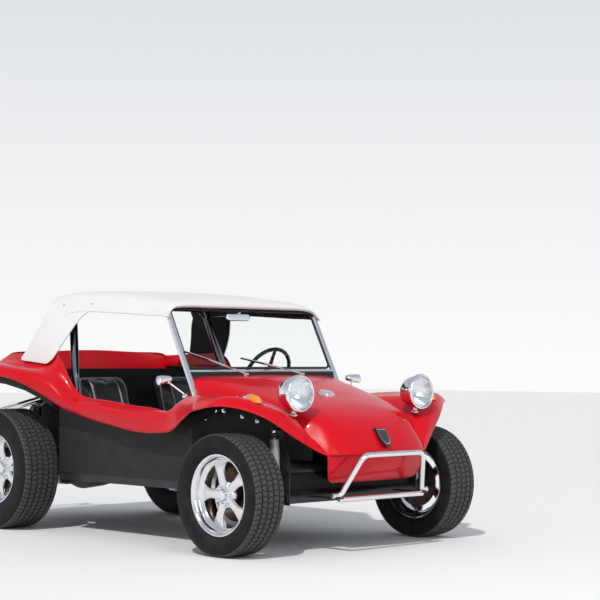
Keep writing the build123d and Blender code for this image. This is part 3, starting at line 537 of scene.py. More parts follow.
def copy_on(tree, given, out, points, rotation):
    """Copies of the given shape on points, turned, made real and painted."""
    shape = node(tree, "GeometryNodeObjectInfo", {"Object": given["Shape"]}).outputs["Geometry"]
    inputs = {"Points": points, "Instance": shape, "Rotation": rotation}
    copies = node(tree, "GeometryNodeInstanceOnPoints", inputs)
    real = node(tree, "GeometryNodeRealizeInstances", {0: copies.outputs[0]})
    inputs = {"Geometry": real.outputs[0], "Material": given["Finish"]}
    tree.links.new(node(tree, "GeometryNodeSetMaterial", inputs).outputs[0], out[0])


def ring_tree():
    """Copies of a shape turned about Y through the middle of the part."""
    tree, given, out = copy_tree("ring_of_copies", {"Count": "Int", "Step": 0.0, "Start": 0.0})
    points = node(tree, "GeometryNodePoints", {"Count": given["Count"]}).outputs[0]
    index = tree.nodes.new("GeometryNodeInputIndex").outputs[0]
    turn = math_node(tree, "ADD", math_node(tree, "MULTIPLY", index, given["Step"]), given["Start"])
    copy_on(tree, given, out, points, node(tree, "ShaderNodeCombineXYZ", {"Y": turn}).outputs[0])
    return tree


def mark_tree():
    """Copies of a shape on marked points, its Z turned to each point's own way."""
    tree, given, out = copy_tree("copies_on_marks", {})
    way = node(tree, "GeometryNodeInputNamedAttribute", {"Name": "way"}, data_type="FLOAT_VECTOR")
    align = node(tree, "FunctionNodeAlignRotationToVector", {"Vector": way.outputs["Attribute"]}, axis="Z")
    copy_on(tree, given, out, given["Geometry"], align.outputs[0])
    return tree


RING = ring_tree()
MARKS = mark_tree()


def grown(obj, tree, shape, finish, inputs):
    """Run a geometry tree on the object with its named inputs, and keep the result as plain mesh."""
    inputs = {"Shape": shape, "Finish": finish.material, **inputs}
    modifier = obj.modifiers.new("repeat", "NODES")
    modifier.node_group = tree
    for item in tree.interface.items_tree:
        if item.in_out == "INPUT" and item.name in inputs:
            modifier[item.identifier] = inputs[item.name]
    baked(obj)
    bpy.data.objects.remove(shape)
    return obj


def ring_of(shape, count, finish, start=0.0):
    """A ring of copies about the wheel's axle."""
    seed = piece([(0, 0, 0)], [], finish)
    made = grown(seed, RING, shape, finish, {"Count": count, "Step": TURN / count, "Start": start})
    made.data.shade_smooth()
    return made


def copies_at(shape, marks, finish):
    """Copies at marks, each a place and a way."""
    seed = piece([m[0] for m in marks], [], finish)
    ways = [c for m in marks for c in Vector(m[1]).normalized()]
    seed.data.attributes.new("way", "FLOAT_VECTOR", "POINT").data.foreach_set("vector", ways)
    return grown(seed, MARKS, shape, finish, {})


# Shell tables, left half: places counted from the front axle, each row lip, outer top, inner top and valley


def at(x, *places):
    """A row of points that share one length."""
    return [(x, y, z) for y, z in places]


FENDER = [
    ((344, 365, 504), (343, 366, 507), (342, 366, 508), (340, 364, 505)),
    ((315, 415, 530), (310, 404, 548), (309, 390, 549), (310, 374, 534)),
    ((250, 548, 618), (250, 505, 652), (250, 425, 622), (252, 392, 586)),
    ((199, 660, 697), (195, 600, 732), (195, 455, 690), (195, 412, 626)),
    at(100, (800, 753), (725, 792), (505, 755), (435, 664)),
    ((38, 878, 758), (36, 795, 806), (34, 532, 778), (34, 450, 690)),
    ((-40, 876, 747), (-40, 795, 807), (-45, 545, 786), (-45, 468, 712)),
    at(-147, (848, 731), (776, 806), (560, 786), (488, 734)),
    at(-250, (790, 712), (736, 804), (566, 782), (502, 748)),
    at(-380, (740, 665), (690, 792), (574, 782), (524, 752)),
    at(-450, (720, 630), (674, 774), (588, 776), (544, 748)),
]
SIDE = [
    ((-510, 709, 611), (-508, 672, 744), (-502, 608, 757), (-502, 588, 716)),
    ((-567, 700, 603), (-562, 676, 716), (-556, 619, 715), (-556, 604, 666)),
    at(-700, (690, 598), (682, 704), (624, 726), (604, 672)),
    at(-870, (684, 606), (686, 698), (624, 739), (604, 682)),
    at(-1050, (680, 630), (690, 708), (624, 756), (604, 702)),
    at(-1230, (679, 658), (692, 718), (624, 771), (604, 720)),
    at(-1390, (682, 690), (698, 742), (640, 778), (628, 796), (606, 742)),
    at(-1490, (695, 718), (714, 792), (646, 850), (634, 880), (612, 830)),
    ((-1570, 716, 758), (-1570, 742, 852), (-1565, 660, 932), (-1557, 641, 984), (-1560, 619, 930)),
    ((-1660, 762, 815), (-1660, 775, 900), (-1650, 660, 952), (-1632, 638, 1036), (-1640, 618, 942)),
    ((-1740, 812, 862), (-1740, 800, 932), (-1740, 658, 962), (-1735, 636, 1038), (-1740, 616, 946)),
    at(-1885, (850, 898), (818, 956), (655, 976), (634, 1034), (614, 950)),
    at(-2030, (861, 910), (820, 970), (646, 988), (624, 1030), (604, 955)),
    at(-2148, (855, 894), (812, 960), (630, 988), (606, 1026), (586, 958)),
]
# Each row: valley, wall, shoulder, crown, middle
HOOD = [
    ((340, 364, 505), (352, 352, 506), (372, 322, 507), (402, 200, 506), (418, 0, 505)),
    ((310, 374, 534), (330, 345, 556), (348, 308, 566), (371, 190, 572), (386, 0, 562)),
    ((252, 392, 586), (262, 356, 632), (284, 310, 655), (306, 190, 659), (322, 0, 656)),
    ((195, 412, 626), (198, 372, 690), (206, 318, 712), (214, 190, 724), (222, 0, 724)),
    ((100, 435, 664), (100, 392, 732), (102, 334, 752), (106, 195, 765), (110, 0, 770)),
    at(34, (450, 690), (410, 752), (352, 773), (205, 787), (0, 792)),
    at(-45, (468, 712), (428, 772), (370, 793), (215, 810), (0, 815)),
    at(-147, (488, 734), (452, 796), (394, 820), (230, 838), (0, 844)),
    at(-250, (502, 748), (470, 820), (412, 846), (240, 866), (0, 872)),
    at(-380, (524, 752), (498, 846), (442, 876), (258, 893), (0, 899)),
    at(-450, (542, 750), (522, 860), (468, 888), (275, 900), (0, 905)),
    at(-519, (550, 775), (539, 874), (494, 896), (300, 905), (0, 909)),
]
# Each row: lip, outer top, flange foot, inner top, deck, middle
REAR = [
    at(-2148, (855, 894), (812, 960), (630, 988), (606, 1026), (420, 1046), (0, 1057)),
    at(-2290, (840, 852), (795, 930), (618, 962), (585, 986), (400, 1004), (0, 1014)),
    at(-2420, (790, 778), (752, 885), (596, 925), (560, 941), (390, 955), (0, 966)),
    at(-2500, (745, 735), (712, 852), (576, 893), (545, 905), (375, 919), (0, 929)),
    at(-2540, (715, 716), (685, 832), (560, 874), (530, 884), (370, 896), (0, 904)),
]
FOOT_SHARE, FOOT_RISE = 0.36, 4


def with_foot(row):
    """A side row of five points: without a flange, its third lies on the way between the two tops."""
    if len(row) == 5:
        return row
    lip, outer, inner, valley = row
    foot = [i + (o - i) * FOOT_SHARE for i, o in zip(inner, outer)]
    return (lip, outer, (foot[0], foot[1], foot[2] + FOOT_RISE), inner, valley)


def line(*points):
    return [car(*p) for p in points]


def sided(s, *points):
    """Places on the car's left side, or mirrored to its right."""
    return line(*((x, s * y, z) for x, y, z in points))


def across(row):
    """A row that runs from the left side to the middle, carried on to the right side."""
    return line(*row, *((x, -y, z) for x, y, z in reversed(row[:-1])))


def nose_rows():
    """The nose's lower face, from the crease down and back to the chin."""
    # Each level: height, half width, length of the corner and of the middle
    levels = ((505, 364, 341, 417), (470, 359, 336, 400), (430, 350, 328, 374))
    levels += ((395, 338, 316, 345), (372, 318, 304, 322), (360, 285, 292, 302))
    shares = [k / 6 for k in range(-6, 7)]
    return [line(*((corner + (middle - corner) * (1 - s * s), half * s, z) for s in shares))
            for z, half, corner, middle in levels]


sheets = [
    doubled(grid(surface([line(*with_foot(row)) for row in FENDER + SIDE], 150, 30), RED)),
    grid(surface([across(row) for row in HOOD], 70, 60), RED),
    grid(surface(nose_rows(), 16, 60), RED),
    grid(surface([across(row) for row in REAR], 26, 96), RED),
]
shell = cleaned(joined("body_shell", sheets), 0.002, 70)
walled(outward(shell, car(-900, 0, 450)), 5, UNDERCOAT, offset=-1.0)
# The inner side in the cabin takes the brighter red of painted light
shell.data.materials.append(RED_INSIDE_PAINTED_LIT.material)
CABIN_REAR, CABIN_FRONT, CABIN_HALF = car(-2200, 0, 0)[0], car(-1250, 0, 0)[0], 0.665
WALL, CABIN_WALL = 1, 2  # the finish numbers of the inner side, and of that side in the cabin, where a brighter red is painted light
for polygon in shell.data.polygons:
    middle = polygon.center
    in_cabin = abs(middle.y) < CABIN_HALF and CABIN_REAR < middle.x < CABIN_FRONT
    if polygon.material_index == WALL and in_cabin:
        polygon.material_index = CABIN_WALL
fit("body_shell", [shell], "red_shell", "hood", "front_body", "body_sides", "rear_body")

ARCH_X, ARCH_Y = (-700, -440, -318, -130, 215, 270), (597, 597, 440, 400, 356, 350)
liner_rows = []
for row in FENDER[2:] + SIDE[:3]:
    x, y, z = row[-1]
    low_y = float(np.interp(x, ARCH_X, ARCH_Y))
    liner_rows.append(line(*((x, y + (low_y - y) * t, z - 4 + (575 - z) * t) for t in (0.0, 0.35, 0.7, 1.0))))
liner = fit("arch_liner", [walled(doubled(grid(liner_rows, UNDERCOAT)), 4)], "black_liner")

# Hardtop: each row from the middle to the side's lower edge

ROOF = [
    ((-700, 0, 1281), (-700, 300, 1280), (-700, 500, 1274), (-692, 545, 1254), (-674, 573, 1221)),
    ((-688, 0, 1290), (-688, 300, 1289), (-688, 500, 1283), (-680, 548, 1262), (-667, 579, 1224)),
    ((-694, 0, 1309), (-694, 300, 1305), (-696, 497, 1296), (-690, 544, 1272), (-680, 577, 1228)),
    ((-720, 0, 1328), (-720, 300, 1322), (-720, 493, 1308), (-718, 540, 1281), (-712, 573, 1230)),
    at(-770, (0, 1345), (300, 1337), (490, 1317), (535, 1286), (563, 1235)),
    at(-870, (0, 1360), (300, 1350), (490, 1326), (533, 1292), (559, 1239)),
    at(-1020, (0, 1376), (300, 1368), (488, 1342), (530, 1304), (558, 1249)),
    at(-1220, (0, 1391), (320, 1386), (488, 1362), (529, 1322), (558, 1261)),
    at(-1420, (0, 1399), (330, 1396), (488, 1374), (529, 1334), (560, 1271)),
    at(-1600, (0, 1401), (330, 1398), (488, 1378), (529, 1338), (563, 1268)),
    ((-1740, 0, 1398), (-1740, 330, 1395), (-1737, 488, 1374), (-1732, 530, 1336), (-1722, 567, 1262)),
    ((-1850, 0, 1390), (-1848, 330, 1386), (-1834, 490, 1362), (-1822, 531, 1328), (-1822, 569, 1262)),
]
FRONT_EDGE = ((-1420, 560, 1271), (-1462, 572, 1245), (-1500, 600, 1190), (-1560, 633, 1095),
              (-1660, 664, 968))
REAR_EDGE = ((-1822, 569, 1262), (-1852, 582, 1212), (-1880, 602, 1150), (-1930, 634, 1050),
             (-1966, 660, 994))
SAIL_ENDS, SAIL_CUT = 0.12, 0.085  # the share of its width in each lower corner, and how far that is cut


def sail_table():
    """The panel from the roof's side down to the body, between its two edges, its lower corners rounded."""
    front, rear = (through(metres(edge), 61) for edge in (FRONT_EDGE, REAR_EDGE))
    columns = []
    for k in range(31):
        t = k / 30
        edge = front * (1 - t) + rear * t
        edge[:, 1] += 0.010 * math.sin(math.pi * t) * np.sin(np.linspace(0, math.pi, 61))
        corner = max(0.0, 1 - t / SAIL_ENDS) ** 2 + max(0.0, 1 - (1 - t) / SAIL_ENDS) ** 2
        places = np.linspace(0, 60 * (1 - SAIL_CUT * corner), 30)
        columns.append(np.stack([np.interp(places, range(61), edge[:, axis]) for axis in range(3)], axis=1))
    table = np.stack(columns, axis=1)
    table[:, :, 0] += FRONT_AXLE_X
    return table


roof_rows = [line(*((x, -y, z) for x, y, z in reversed(row[1:])), *row) for row in ROOF]
sheets = [grid(surface(roof_rows, 80, 72), WHITE), doubled(grid(sail_table(), WHITE))]
hardtop = outward(joined("hardtop_shell", sheets), car(-1400, 0, 1000))
hardtop = fit("hardtop_shell", [walled(hardtop, 6, LINING, -1.0, 1.5)], "white_shell", "hardtop")

# Windshield frame, gasket and glass

LEAN = math.radians(27.5)
SCREEN_FOOT = Vector(car(-541, 0, 930))
SCREEN_UP = Vector((-math.sin(LEAN), 0, math.cos(LEAN)))
SCREEN_OUT = Vector((math.cos(LEAN), 0, math.sin(LEAN)))
POST_Y = 552
HEADER_H = 394
FOOT_SHAPE = ((-22, -172), (22, -172), (22, -128), (12, -118), (-12, -118), (-22, -128))


def screen(y, h, out=0):
    """A point of the windshield's plane, lifted off it towards the nose."""
    return SCREEN_FOOT + (LEFT * y + SCREEN_UP * h + SCREEN_OUT * out) / 1000


def screen_bar(start, end, section, finish):
    return swept([screen(*start), screen(*end)], section, finish, up=SCREEN_OUT)


def loop(half, low, high, bend):
    """A closed path with rounded corners in the windshield's plane."""
    out = []
    for y, h, start in ((half, low, -90), (half, high, 0), (-half, high, 90), (-half, low, 180)):
        cy, ch = y - math.copysign(bend, y), h + (bend if h == low else -bend)
        for k in range(7):
            a = math.radians(start + 15 * k)
            out.append(screen(cy + bend * math.cos(a), ch + bend * math.sin(a)))
    return out


posts = [screen_bar((-POST_Y, -2), (POST_Y, -2), bar(15, 22, 5), ALLOY)]
for s in SIDES:
    posts.append(screen_bar((s * POST_Y, -172), (s * POST_Y, 352), bar(32, 24, 9.5), ALLOY))
    posts.append(plate([screen(s * POST_Y + y, h, 13) for y, h in FOOT_SHAPE], SCREEN_OUT, 4, ALLOY))
fit("windshield_bars", posts, "polished_alloy", "windshield_frame")
# The black top bar stands for the dark gasket and the shaded top rail of the alloy frame: partly real, partly
# painted shade
header = screen_bar((-512, HEADER_H, -6), (512, HEADER_H, -6), bar(20, 22, 6), TIDY_BLACK)
fit("windshield_header", [header], "dark_grip")
gasket_path = loop(533.5, 18.5, HEADER_H - 10, 34)
gasket = swept(gasket_path, bar(12, 14, 4), GUM, closed=True, up=SCREEN_OUT)
fit("screen_gasket", [gasket], "dark_grip")
glass = plate(loop(530, 22, HEADER_H - 14, 31), SCREEN_OUT, 5, SCREEN_GLASS)
fit("screen_pane", [moved(glass, SCREEN_OUT * -0.0025)], "clear_glass", "windshield_glass")

COWL_HALF = 545
cowl_low, cowl_high = [], []
for y in np.linspace(-COWL_HALF, COWL_HALF, 61):
    drop = 13 * (abs(y) / 490) ** 2.4 + 22 * (max(0.0, abs(y) - 485) / 55) ** 1.5
    cowl_low.append(Vector(car(-512, y, 897 - drop)))
    cowl_high.append(screen(y, -14, 4))
cowl_seal = walled(grid([cowl_low, cowl_high], GUM), 10, bevel=2)
fit("cowl_seal", [cowl_seal, screen_bar((-534, -17, 4), (534, -17, 4), bar(19, 20, 6), GUM)], "dark_grip")

# Tyres

LUG = 0.405  # half of a tread block's length, as a share of the pitch
ZIG = 0.26
GROOVE = 9.5


def tread_tile(radius, half, ribs, pitches):
    """One block of each rib, side by side across the tread."""
    tread = 2 * half * 0.87
    rib = (tread - GROOVE * (ribs - 1)) / ribs
    points, faces = [], []
    for i in range(ribs):
        low = -tread / 2 + i * (rib + GROOVE)
        high, phase, zig = low + rib, 0.5 * (i % 2), (ZIG if i % 2 else -ZIG)
        rear, front, middle = phase - LUG, phase + LUG, low + rib / 2
        outline = [(rear, low), (rear + zig, middle), (rear, high)]
        outline += [(front, high), (front + zig, middle), (front, low)]
        base, n = len(points), len(outline)
        for top in (False, True):
            for turn, y in outline:
                r = radius - 0.3 if top else radius - 11.5
                if abs(abs(y) - tread / 2) < 0.001:
                    r = radius - 3.5 if top else radius * 0.962
                    y = math.copysign(tread / 2 - 1 if top else half * 0.905 + 0.8, y)
                a = TURN / pitches * turn
                points.append((r * math.sin(a), y, r * math.cos(a)))
        faces.append([base + n + j for j in range(n)])
        faces += [(base + j, base + (j + 1) % n, base + n + (j + 1) % n, base + n + j) for j in range(n)]
    return cleaned(piece(metres(points), faces, RUBBER, False))


def tyre_mesh(radius, width, rim_width, ribs, pitches):
    """A carcass turned about Y, with tread blocks copied round it."""
    half, bead = width / 2, rim_width / 2 - 7.3
    crown, shoulder = radius - 8.5, half * 0.86
    profile = [
        (192.5, bead - 4), (203, bead - 0.5), (209.5, bead + 3), (212.5, bead + 9.5), (215.5, bead + 10),
        (218.5, half * 0.90), (232, half * 0.965), (radius * 0.825, half), (radius * 0.90, half * 0.985),
        (radius * 0.945, half * 0.955), (radius * 0.964, half * 0.915), (crown - 3, shoulder + 3),
        (crown, shoulder - 6), (crown, 0),
    ]
    profile += [(r, -a) for r, a in reversed(profile[:-1])]
    carcass = turned(profile, RUBBER, LEFT, count=120, ends="open", sharp=60)
    tread = ring_of(tread_tile(radius, half, ribs, pitches), pitches, TREAD)
    tread.data.shade_flat()
    return joined("tyre", [carcass, tread])


# Alloy wheels

SPOKE_LEAN = math.radians(-17)
SPOKE_ROOT, SPOKE_TIP = 45, 170
BOLT_CIRCLE = 50
HUB = ((0.5, -30), (71, -30), (71.5, -18), (62, -4), (36, -1), (33.5, 1), (0.5, 1))
CAP = ((31, -1), (31, 4), (28.5, 7), (27, 19), (22, 23), (0.5, 24.5))
NUT_WELL = ((13, -3), (15.5, 1.2), (18.5, -3))


def spoke_mesh(face):
    """One convex spoke along Z, from the hub to the barrel."""
    rows = []
    for k in range(15):
        t = k / 14
        wide = 30 - 5 * math.sin(math.pi * min(1.0, t * 1.1)) + 17 * max(0.0, (t - 0.45) / 0.55) ** 1.6
        deep = 17 - 2 * math.sin(math.pi * t) + 4 * max(0.0, (t - 0.75) / 0.25) ** 2
        level = face - 16 + 6 * math.sin(math.pi * t) - 12 * max(0.0, (t - 0.7) / 0.3) ** 2
        r = SPOKE_ROOT + (SPOKE_TIP - SPOKE_ROOT) * t
        rows.append([(wide * bulge(math.cos(a), 2 / 2.6), level + deep * bulge(math.sin(a), 2 / 2.6), r)
                     for a in angles(28)])
    return cleaned(grid(metres(rows), ALLOY, closed_v=True), 1e-6, 60)


def lug_nut(face):
    """A tapered hexagon nut with a domed end, on the bolt circle."""
    rings = ((9.8, -12), (9.8, 6), (8.5, 8.5), (7, 16.5), (4.5, 20.5), (1, 21.5))
    points, faces = [], []
    for level, (r, h) in enumerate(rings):
        for k, a in enumerate(angles(12)):
            flat = r * (1.0 if k % 2 or level > 1 else 1.13)
            points.append((flat * math.cos(a), face - 4 + h, BOLT_CIRCLE + flat * math.sin(a)))
            if level:
                low, after = (level - 1) * 12 + k, (level - 1) * 12 + (k + 1) % 12
                faces.append((low, after, after + 12, low + 12))
    faces.append(range(len(points) - 12, len(points)))
    return cleaned(piece(metres(points), faces, CHROME), 1e-6, 30)


def rim_mesh(width, recess):
    """Barrel, lip, five spokes, hub, nuts and cap; the outer face looks to +Y."""
    half = width / 2
    face = half - recess
    between = SPOKE_LEAN + TURN / 10
    barrel = [
        (207.8, half - 6.5), (208, half - 2), (206, half - 0.3), (202, half - 1), (197, half - 4),
        (192, half - 10.5), (188.5, half - 16), (187, half - 30), (183.5, half - 38), (173.5, half - 45),
        (166.5, half - 52), (165.5, 0), (165.5, -half + 40), (182, -half + 22), (199, -half + 3),
        (206, -half + 0.5), (207.8, -half + 4), (192.5, -half + 11), (191.5, -half + 26), (170.5, -half + 37),
        (170.5, half - 56), (191.5, half - 34), (192.5, half - 12),
    ]
    hub = [(r, face + h) for r, h in HUB]
    cap = [(r, face + h) for r, h in CAP]
    well = turned(NUT_WELL, ALLOY, LEFT, metres((0, face - 2, BOLT_CIRCLE)), 24, 1, ends="open")
    return joined("rim", [
        turned(barrel, ALLOY, LEFT, count=96, bend=1.5, steps=1, ends="ring", sharp=35),
        ring_of(spoke_mesh(face), 5, ALLOY, SPOKE_LEAN),
        turned(hub, ALLOY, LEFT, bend=3),
        ring_of(lug_nut(face), 5, CHROME, between),
        ring_of(well, 5, ALLOY, between),
        turned(cap, CHROME, LEFT, count=48, bend=2, ends="open"),
    ])


# Each axle: its place, track, tyre radius and width, rim width and recess, ribs and pitches of the tread
WHEELS = {"f": (0, 724, 310, 208, 166, 46, 5, 70), "r": (-2032, 682, 352, 255, 212, 68, 6, 78)}
for end, (x, track, radius, width, rim_width, recess, ribs, pitches) in WHEELS.items():
    tyre, alloy = tyre_mesh(radius, width, rim_width, ribs, pitches), rim_mesh(rim_width, recess)
    for side, s in (("l", 1), ("r", -1)):
        corner = end + side
        for kind, source, slot in (("tyre", tyre, "tyre_rubber"), ("rim", alloy, "polished_alloy")):
            made = placed("wheel", source.data.copy())
            if s < 0:
                made.data.transform(Matrix.Diagonal((1, -1, 1, 1)))
                made.data.flip_normals()
            moved(made, Vector(car(x, s * track, radius)))
            fit(kind + "_detail_" + corner, [made], slot, kind + "_" + corner, body="wheel_" + corner)
    bpy.data.objects.remove(tyre)
    bpy.data.objects.remove(alloy)


def rod(start, end, section, finish, **more):
    """A straight bar between two places on the car."""
    return swept(line(start, end), section, finish, **more)


# Bumper, rear guard and roll bar

BUMPER_R, GUARD_R = 14.5, 19
hoop = line((362, 352, 303), (372, 305, 303), (459, 222, 507))
bumper = [
    rod((370, -310, 283), (370, 310, 283), circle(BUMPER_R), CHROME),
    pipe([(x, -y, z) for x, y, z in hoop] + hoop[::-1], BUMPER_R, CHROME, 55),
]
for s in SIDES:
    for x, y, z in ((370, 310, 283), (362, 352, 303)):
        end = [(0.5, 5), (9, 4), (BUMPER_R, 0)]
        bumper.append(turned(end, CHROME, (0, s, 0), car(x, s * y, z), 24, 2, ends="open"))
    bumper.append(rod((176, s * 318, 290), (388, s * 318, 290), bar(46, 7, 2), TIDY_BLACK))
fit("bumper_tubes", bumper, "chrome", "front_bumper")
rail = line((-2073, 490, 372), (-2841, 430, 372), (-2841, -430, 372), (-2073, -490, 372))
hoop = line((-2841, -230, 384), (-2841, -230, 640), (-2841, 230, 640), (-2841, 230, 384))
guard = [pipe(rail, GUARD_R, CHROME, 90), pipe(hoop, GUARD_R, CHROME, 70)]
fit("guard_tubes", guard, "chrome", "rear_guard")
half_roll = ((-1500, 534, 311), (-1520, 574, 900), (-1645, 505, 1318))
# The chrome roll hoop is darkened as painted shade
roll = [pipe(line(*((x, -y, z) for x, y, z in half_roll), *half_roll[::-1]), 24, CHROME_IN_PAINTED_SHADE, 90, 28)]
roll += [rod((-1545, s * 534, 310), (-1455, s * 534, 310), bar(60, 8, 2), TIDY_BLACK) for s in SIDES]
fit("roll_hoop", roll, "chrome", "roll_bar")

# Small fixings


def seat_on(place, normal, forward=AHEAD):
    """The frame of a part that stands on a surface, its X towards the given way."""
    z = Vector(normal).normalized()
    x = (Vector(forward) - z * z.dot(Vector(forward))).normalized()
    return Matrix.Translation(Vector(place)) @ Matrix((x, z.cross(x), z)).transposed().to_4x4()


def dropped(target, place, way=-UP):
    """Where a line from a place first meets a piece, and the way out of its surface there."""
    hit, where, normal, _ = target.ray_cast(Vector(place), Vector(way))
    if not hit:
        return Vector(place), -Vector(way)
    return where, (normal if normal.dot(Vector(way)) < 0 else -normal)


def domed(radius, height, count=16):
    """A domed head on a thin washer, along Z."""
    profile = [(0.3, height), (radius * 0.5, height * 0.9), (radius * 0.85, height * 0.6)]
    profile += [(radius, height * 0.2), (radius, 1.2), (radius * 1.5, 1), (radius * 1.55, -2.5)]
    return turned(profile, CHROME, UP, count=count)


def hex_bolt(size):
    """A hexagon head on its washer, along Z."""
    washer = turned([(size * 0.95, 2), (size, 1), (size, -3)], CHROME, UP, count=18)
    head = [(size * 0.55, size * 0.78), (size * 0.68, size * 0.62), (size * 0.68, 1)]
    return joined("bolt", [washer, turned(head, CHROME, UP, count=6, sharp=30)])


# Coaming wall behind the seats, in the brighter red that is painted light

wall_rows = []
for t in (0.0, 0.08, 0.5, 1.0):
    row = []
    for y in range(-600, 601, 30):
        top = 1052.5 - 11 * (abs(y) / 420) ** 2 - 12 * max(0.0, (abs(y) - 420) / 180) ** 2
        row.append(car(-2145.5 + 16 * t, y, top + (925 - top) * t))
    wall_rows.append(row)
fit("coaming_wall", [walled(grid(wall_rows, RED_INSIDE_PAINTED_LIT), 4, bevel=1)], "red_shell")

# Headlamps

LAMP_X, LAMP_Y, LAMP_Z, LAMP_R = 231, 457, 818, 88.5
STEM_X, STEM_Z = 187, 703
BOWL = [(max(0.4, LAMP_R * math.sin(math.radians(a)) ** 0.72), -12 - 110 * math.cos(math.radians(a)))
        for a in range(0, 91, 6)] + [(LAMP_R, -4), (LAMP_R - 4, -4)]
LAMP_RIM = ((88.5, -10), (94, -10.5), (96.8, -5), (96.8, 3), (94.5, 10.5), (90, 15), (86.2, 14.2),
            (83.8, 9.5), (83.8, -4))
LAMP_SEAL = ((88.4, -14.5), (91.2, -14.5), (91.2, -10), (88.4, -10))
LAMP_STEM = ((11.8, 52), (11, 18), (15, 11), (20.5, 5), (20.5, 0))
LENS = ((0.3, 23.5), (20, 22.9), (40, 21.2), (58, 18.2), (72, 14.3), (80, 10.8), (83.6, 7.2))
SHIELD = ((8, -20.5), (12.5, -25), (13, -42), (10, -46), (6, -60))
DISH_DEEP, DISH_R, DISH_WALL = 72, 83.2, 1.5
dish = [(max(0.4, DISH_R * k / 12), DISH_DEEP * ((k / 12) ** 2 - 1) + 6) for k in range(13)]
shells, lenses, dishes = [], [], []
for s in (1, -1):
    centre = car(LAMP_X, s * LAMP_Y, LAMP_Z)
    shells.append(turned(BOWL, CHROME, AHEAD, centre, 72, ends="open"))
    shells.append(turned(LAMP_RIM, CHROME, AHEAD, centre, 72, 2, ends="open", sharp=50))
    shells.append(turned(LAMP_SEAL, GUM, AHEAD, centre, 72, ends="ring"))
    shells.append(turned(LAMP_STEM, CHROME, UP, car(STEM_X, s * LAMP_Y, STEM_Z), 32, 3, 3))
    for way in SIDES:
        foot = seat_on(car(STEM_X + way * 13.5, s * LAMP_Y, STEM_Z + 7.5), (way * 0.6, 0, 1))
        shells.append(moved(hex_bolt(6.5), foot))
for s in SIDES:
    centre = car(LAMP_X, s * LAMP_Y, LAMP_Z)
    rear = [(r, h - 3.2) for r, h in reversed(LENS)]
    lenses.append(turned([*LENS, *rear], LAMP_GLASS, AHEAD, centre, 72, ends="open"))
    rear = [(r + (DISH_WALL if r > 1 else 0), h - DISH_WALL) for r, h in reversed(dish)]
    dishes.append(turned(dish + rear, REFLECTOR, AHEAD, centre, ends="open"))
    dishes.append(turned([(0.3, -20), *SHIELD, (0.3, -60)], CHROME, AHEAD, centre, 32, 2, ends="open"))
fit("headlamp_shells", shells, "chrome", "headlamp_bowls")
fit("headlamp_glasses", lenses, "lamp_glass", "headlamp_lenses")
fit("headlamp_dishes", dishes, "chrome")

# Turn lamps on the fenders and tail lamps

LAMP_LONG, LAMP_WIDE, LAMP_TALL = 74.5, 30.5, 33
TAIL_RING = ((46, 0), (46, 8), (44.5, 13), (40.5, 14.5), (39.5, 10))
TAIL_LENS = ((39.5, 10), (39, 17), (33, 22), (24, 22.5), (21, 24.5), (12, 27.2), (0.3, 27.8))


def lamp_cover(start, end, finish, power, grow=1.0):
    """One length of the streamlined cover, along X, from its rear to its front end."""
    rows = []
    for x in np.linspace(start, end, 15):
        swell = max(0.0, 1 - abs(x / LAMP_LONG) ** power) ** 0.52 * grow
        section = np.radians(np.linspace(-96, 96, 21))
        rows.append([(x, LAMP_WIDE * swell * math.sin(a), LAMP_TALL * swell * math.cos(a)) for a in section])
    return cleaned(capped(grid(metres(rows), finish)), 1e-5, 50)


bpy.context.view_layer.update()
turn_lamps, turn_lenses, tail_lenses = [], [], []
for s in SIDES:
    spot, normal = dropped(shell, car(85, s * 650, 1200))
    frame_at = seat_on(spot - normal * 0.004, normal, (1, s * 0.05, 0))
    rear = lamp_cover(-LAMP_LONG, -6, ALLOY, 1.7)
    bead = lamp_cover(-8, -3, ALLOY, 2.4, 1.06)
    front = lamp_cover(-4, LAMP_LONG, AMBER, 2.8)
    rib = lamp_cover(18, 21, AMBER, 2.8, 1.03)
    outline = metres([(0.98 * LAMP_LONG * bulge(math.cos(a), 0.8), 1.02 * LAMP_WIDE * math.sin(a), -12)
                      for a in angles(40)])
    turn_lamps += [moved(part, frame_at) for part in (rear, bead, plate(outline, UP, 12.5, GUM))]
    turn_lenses += [moved(part, frame_at) for part in (front, rib)]
    tail = car(-2546, s * 560, 806)
    turn_lamps.append(turned(TAIL_RING, CHROME, -AHEAD, tail, 48, 1))
    tail_lenses.append(turned([(0.3, 9.5), *TAIL_LENS], RUBY, -AHEAD, tail, 48, sharp=30))
fit("turn_lamp_shells", turn_lamps, "chrome", "signal_lamps")
fit("turn_lamp_lenses", turn_lenses, "amber_lens", "signal_lamps")
fit("tail_lamp_lenses", tail_lenses, "red_shell", "signal_lamps")

# Mirrors

MIRROR_ARM = ((-474, 622, 800), (-480, 628, 812), (-524, 694, 872))
ARM_FOOT = ((0.3, 16), (8.5, 15), (12, 8), (16, 3), (16, -8), (0.3, -8))


def mirror_head(s):
    """A tapered housing with its glass, taller at the outer end."""
    rows = []
    for t in np.linspace(-1, 1, 21):
        end = max(0.0, 1 - abs(t) ** 5) ** 0.42
        tall = 24 + 6 * t
        rows.append([(-6 + 17.5 * end * bulge(math.cos(a), 0.7) * (1.25 if math.cos(a) > 0 else 0.55),
                      s * 55.5 * t, 29.5 - tall + tall * end * bulge(math.sin(a), 0.75)) for a in angles(24)])
    head = cleaned(grid(metres(rows), CHROME, closed_v=True), 1e-5, 50)
    face = []
    for a in angles(28):
        t = bulge(math.cos(a), 0.35)
        face.append((-15.8, s * 48 * t, 5.5 - 6 * t + (19 + 5.5 * t) * bulge(math.sin(a), 0.5)))
    turn = Matrix.Rotation(math.radians(-14), 4, "Y") @ Matrix.Rotation(math.radians(-8 * s), 4, "Z")
    place = Matrix.Translation(Vector(car(-531, s * 715, 880))) @ turn
    return [moved(part, place) for part in (head, plate(metres(face), -AHEAD, 1.2, REFLECTOR))]


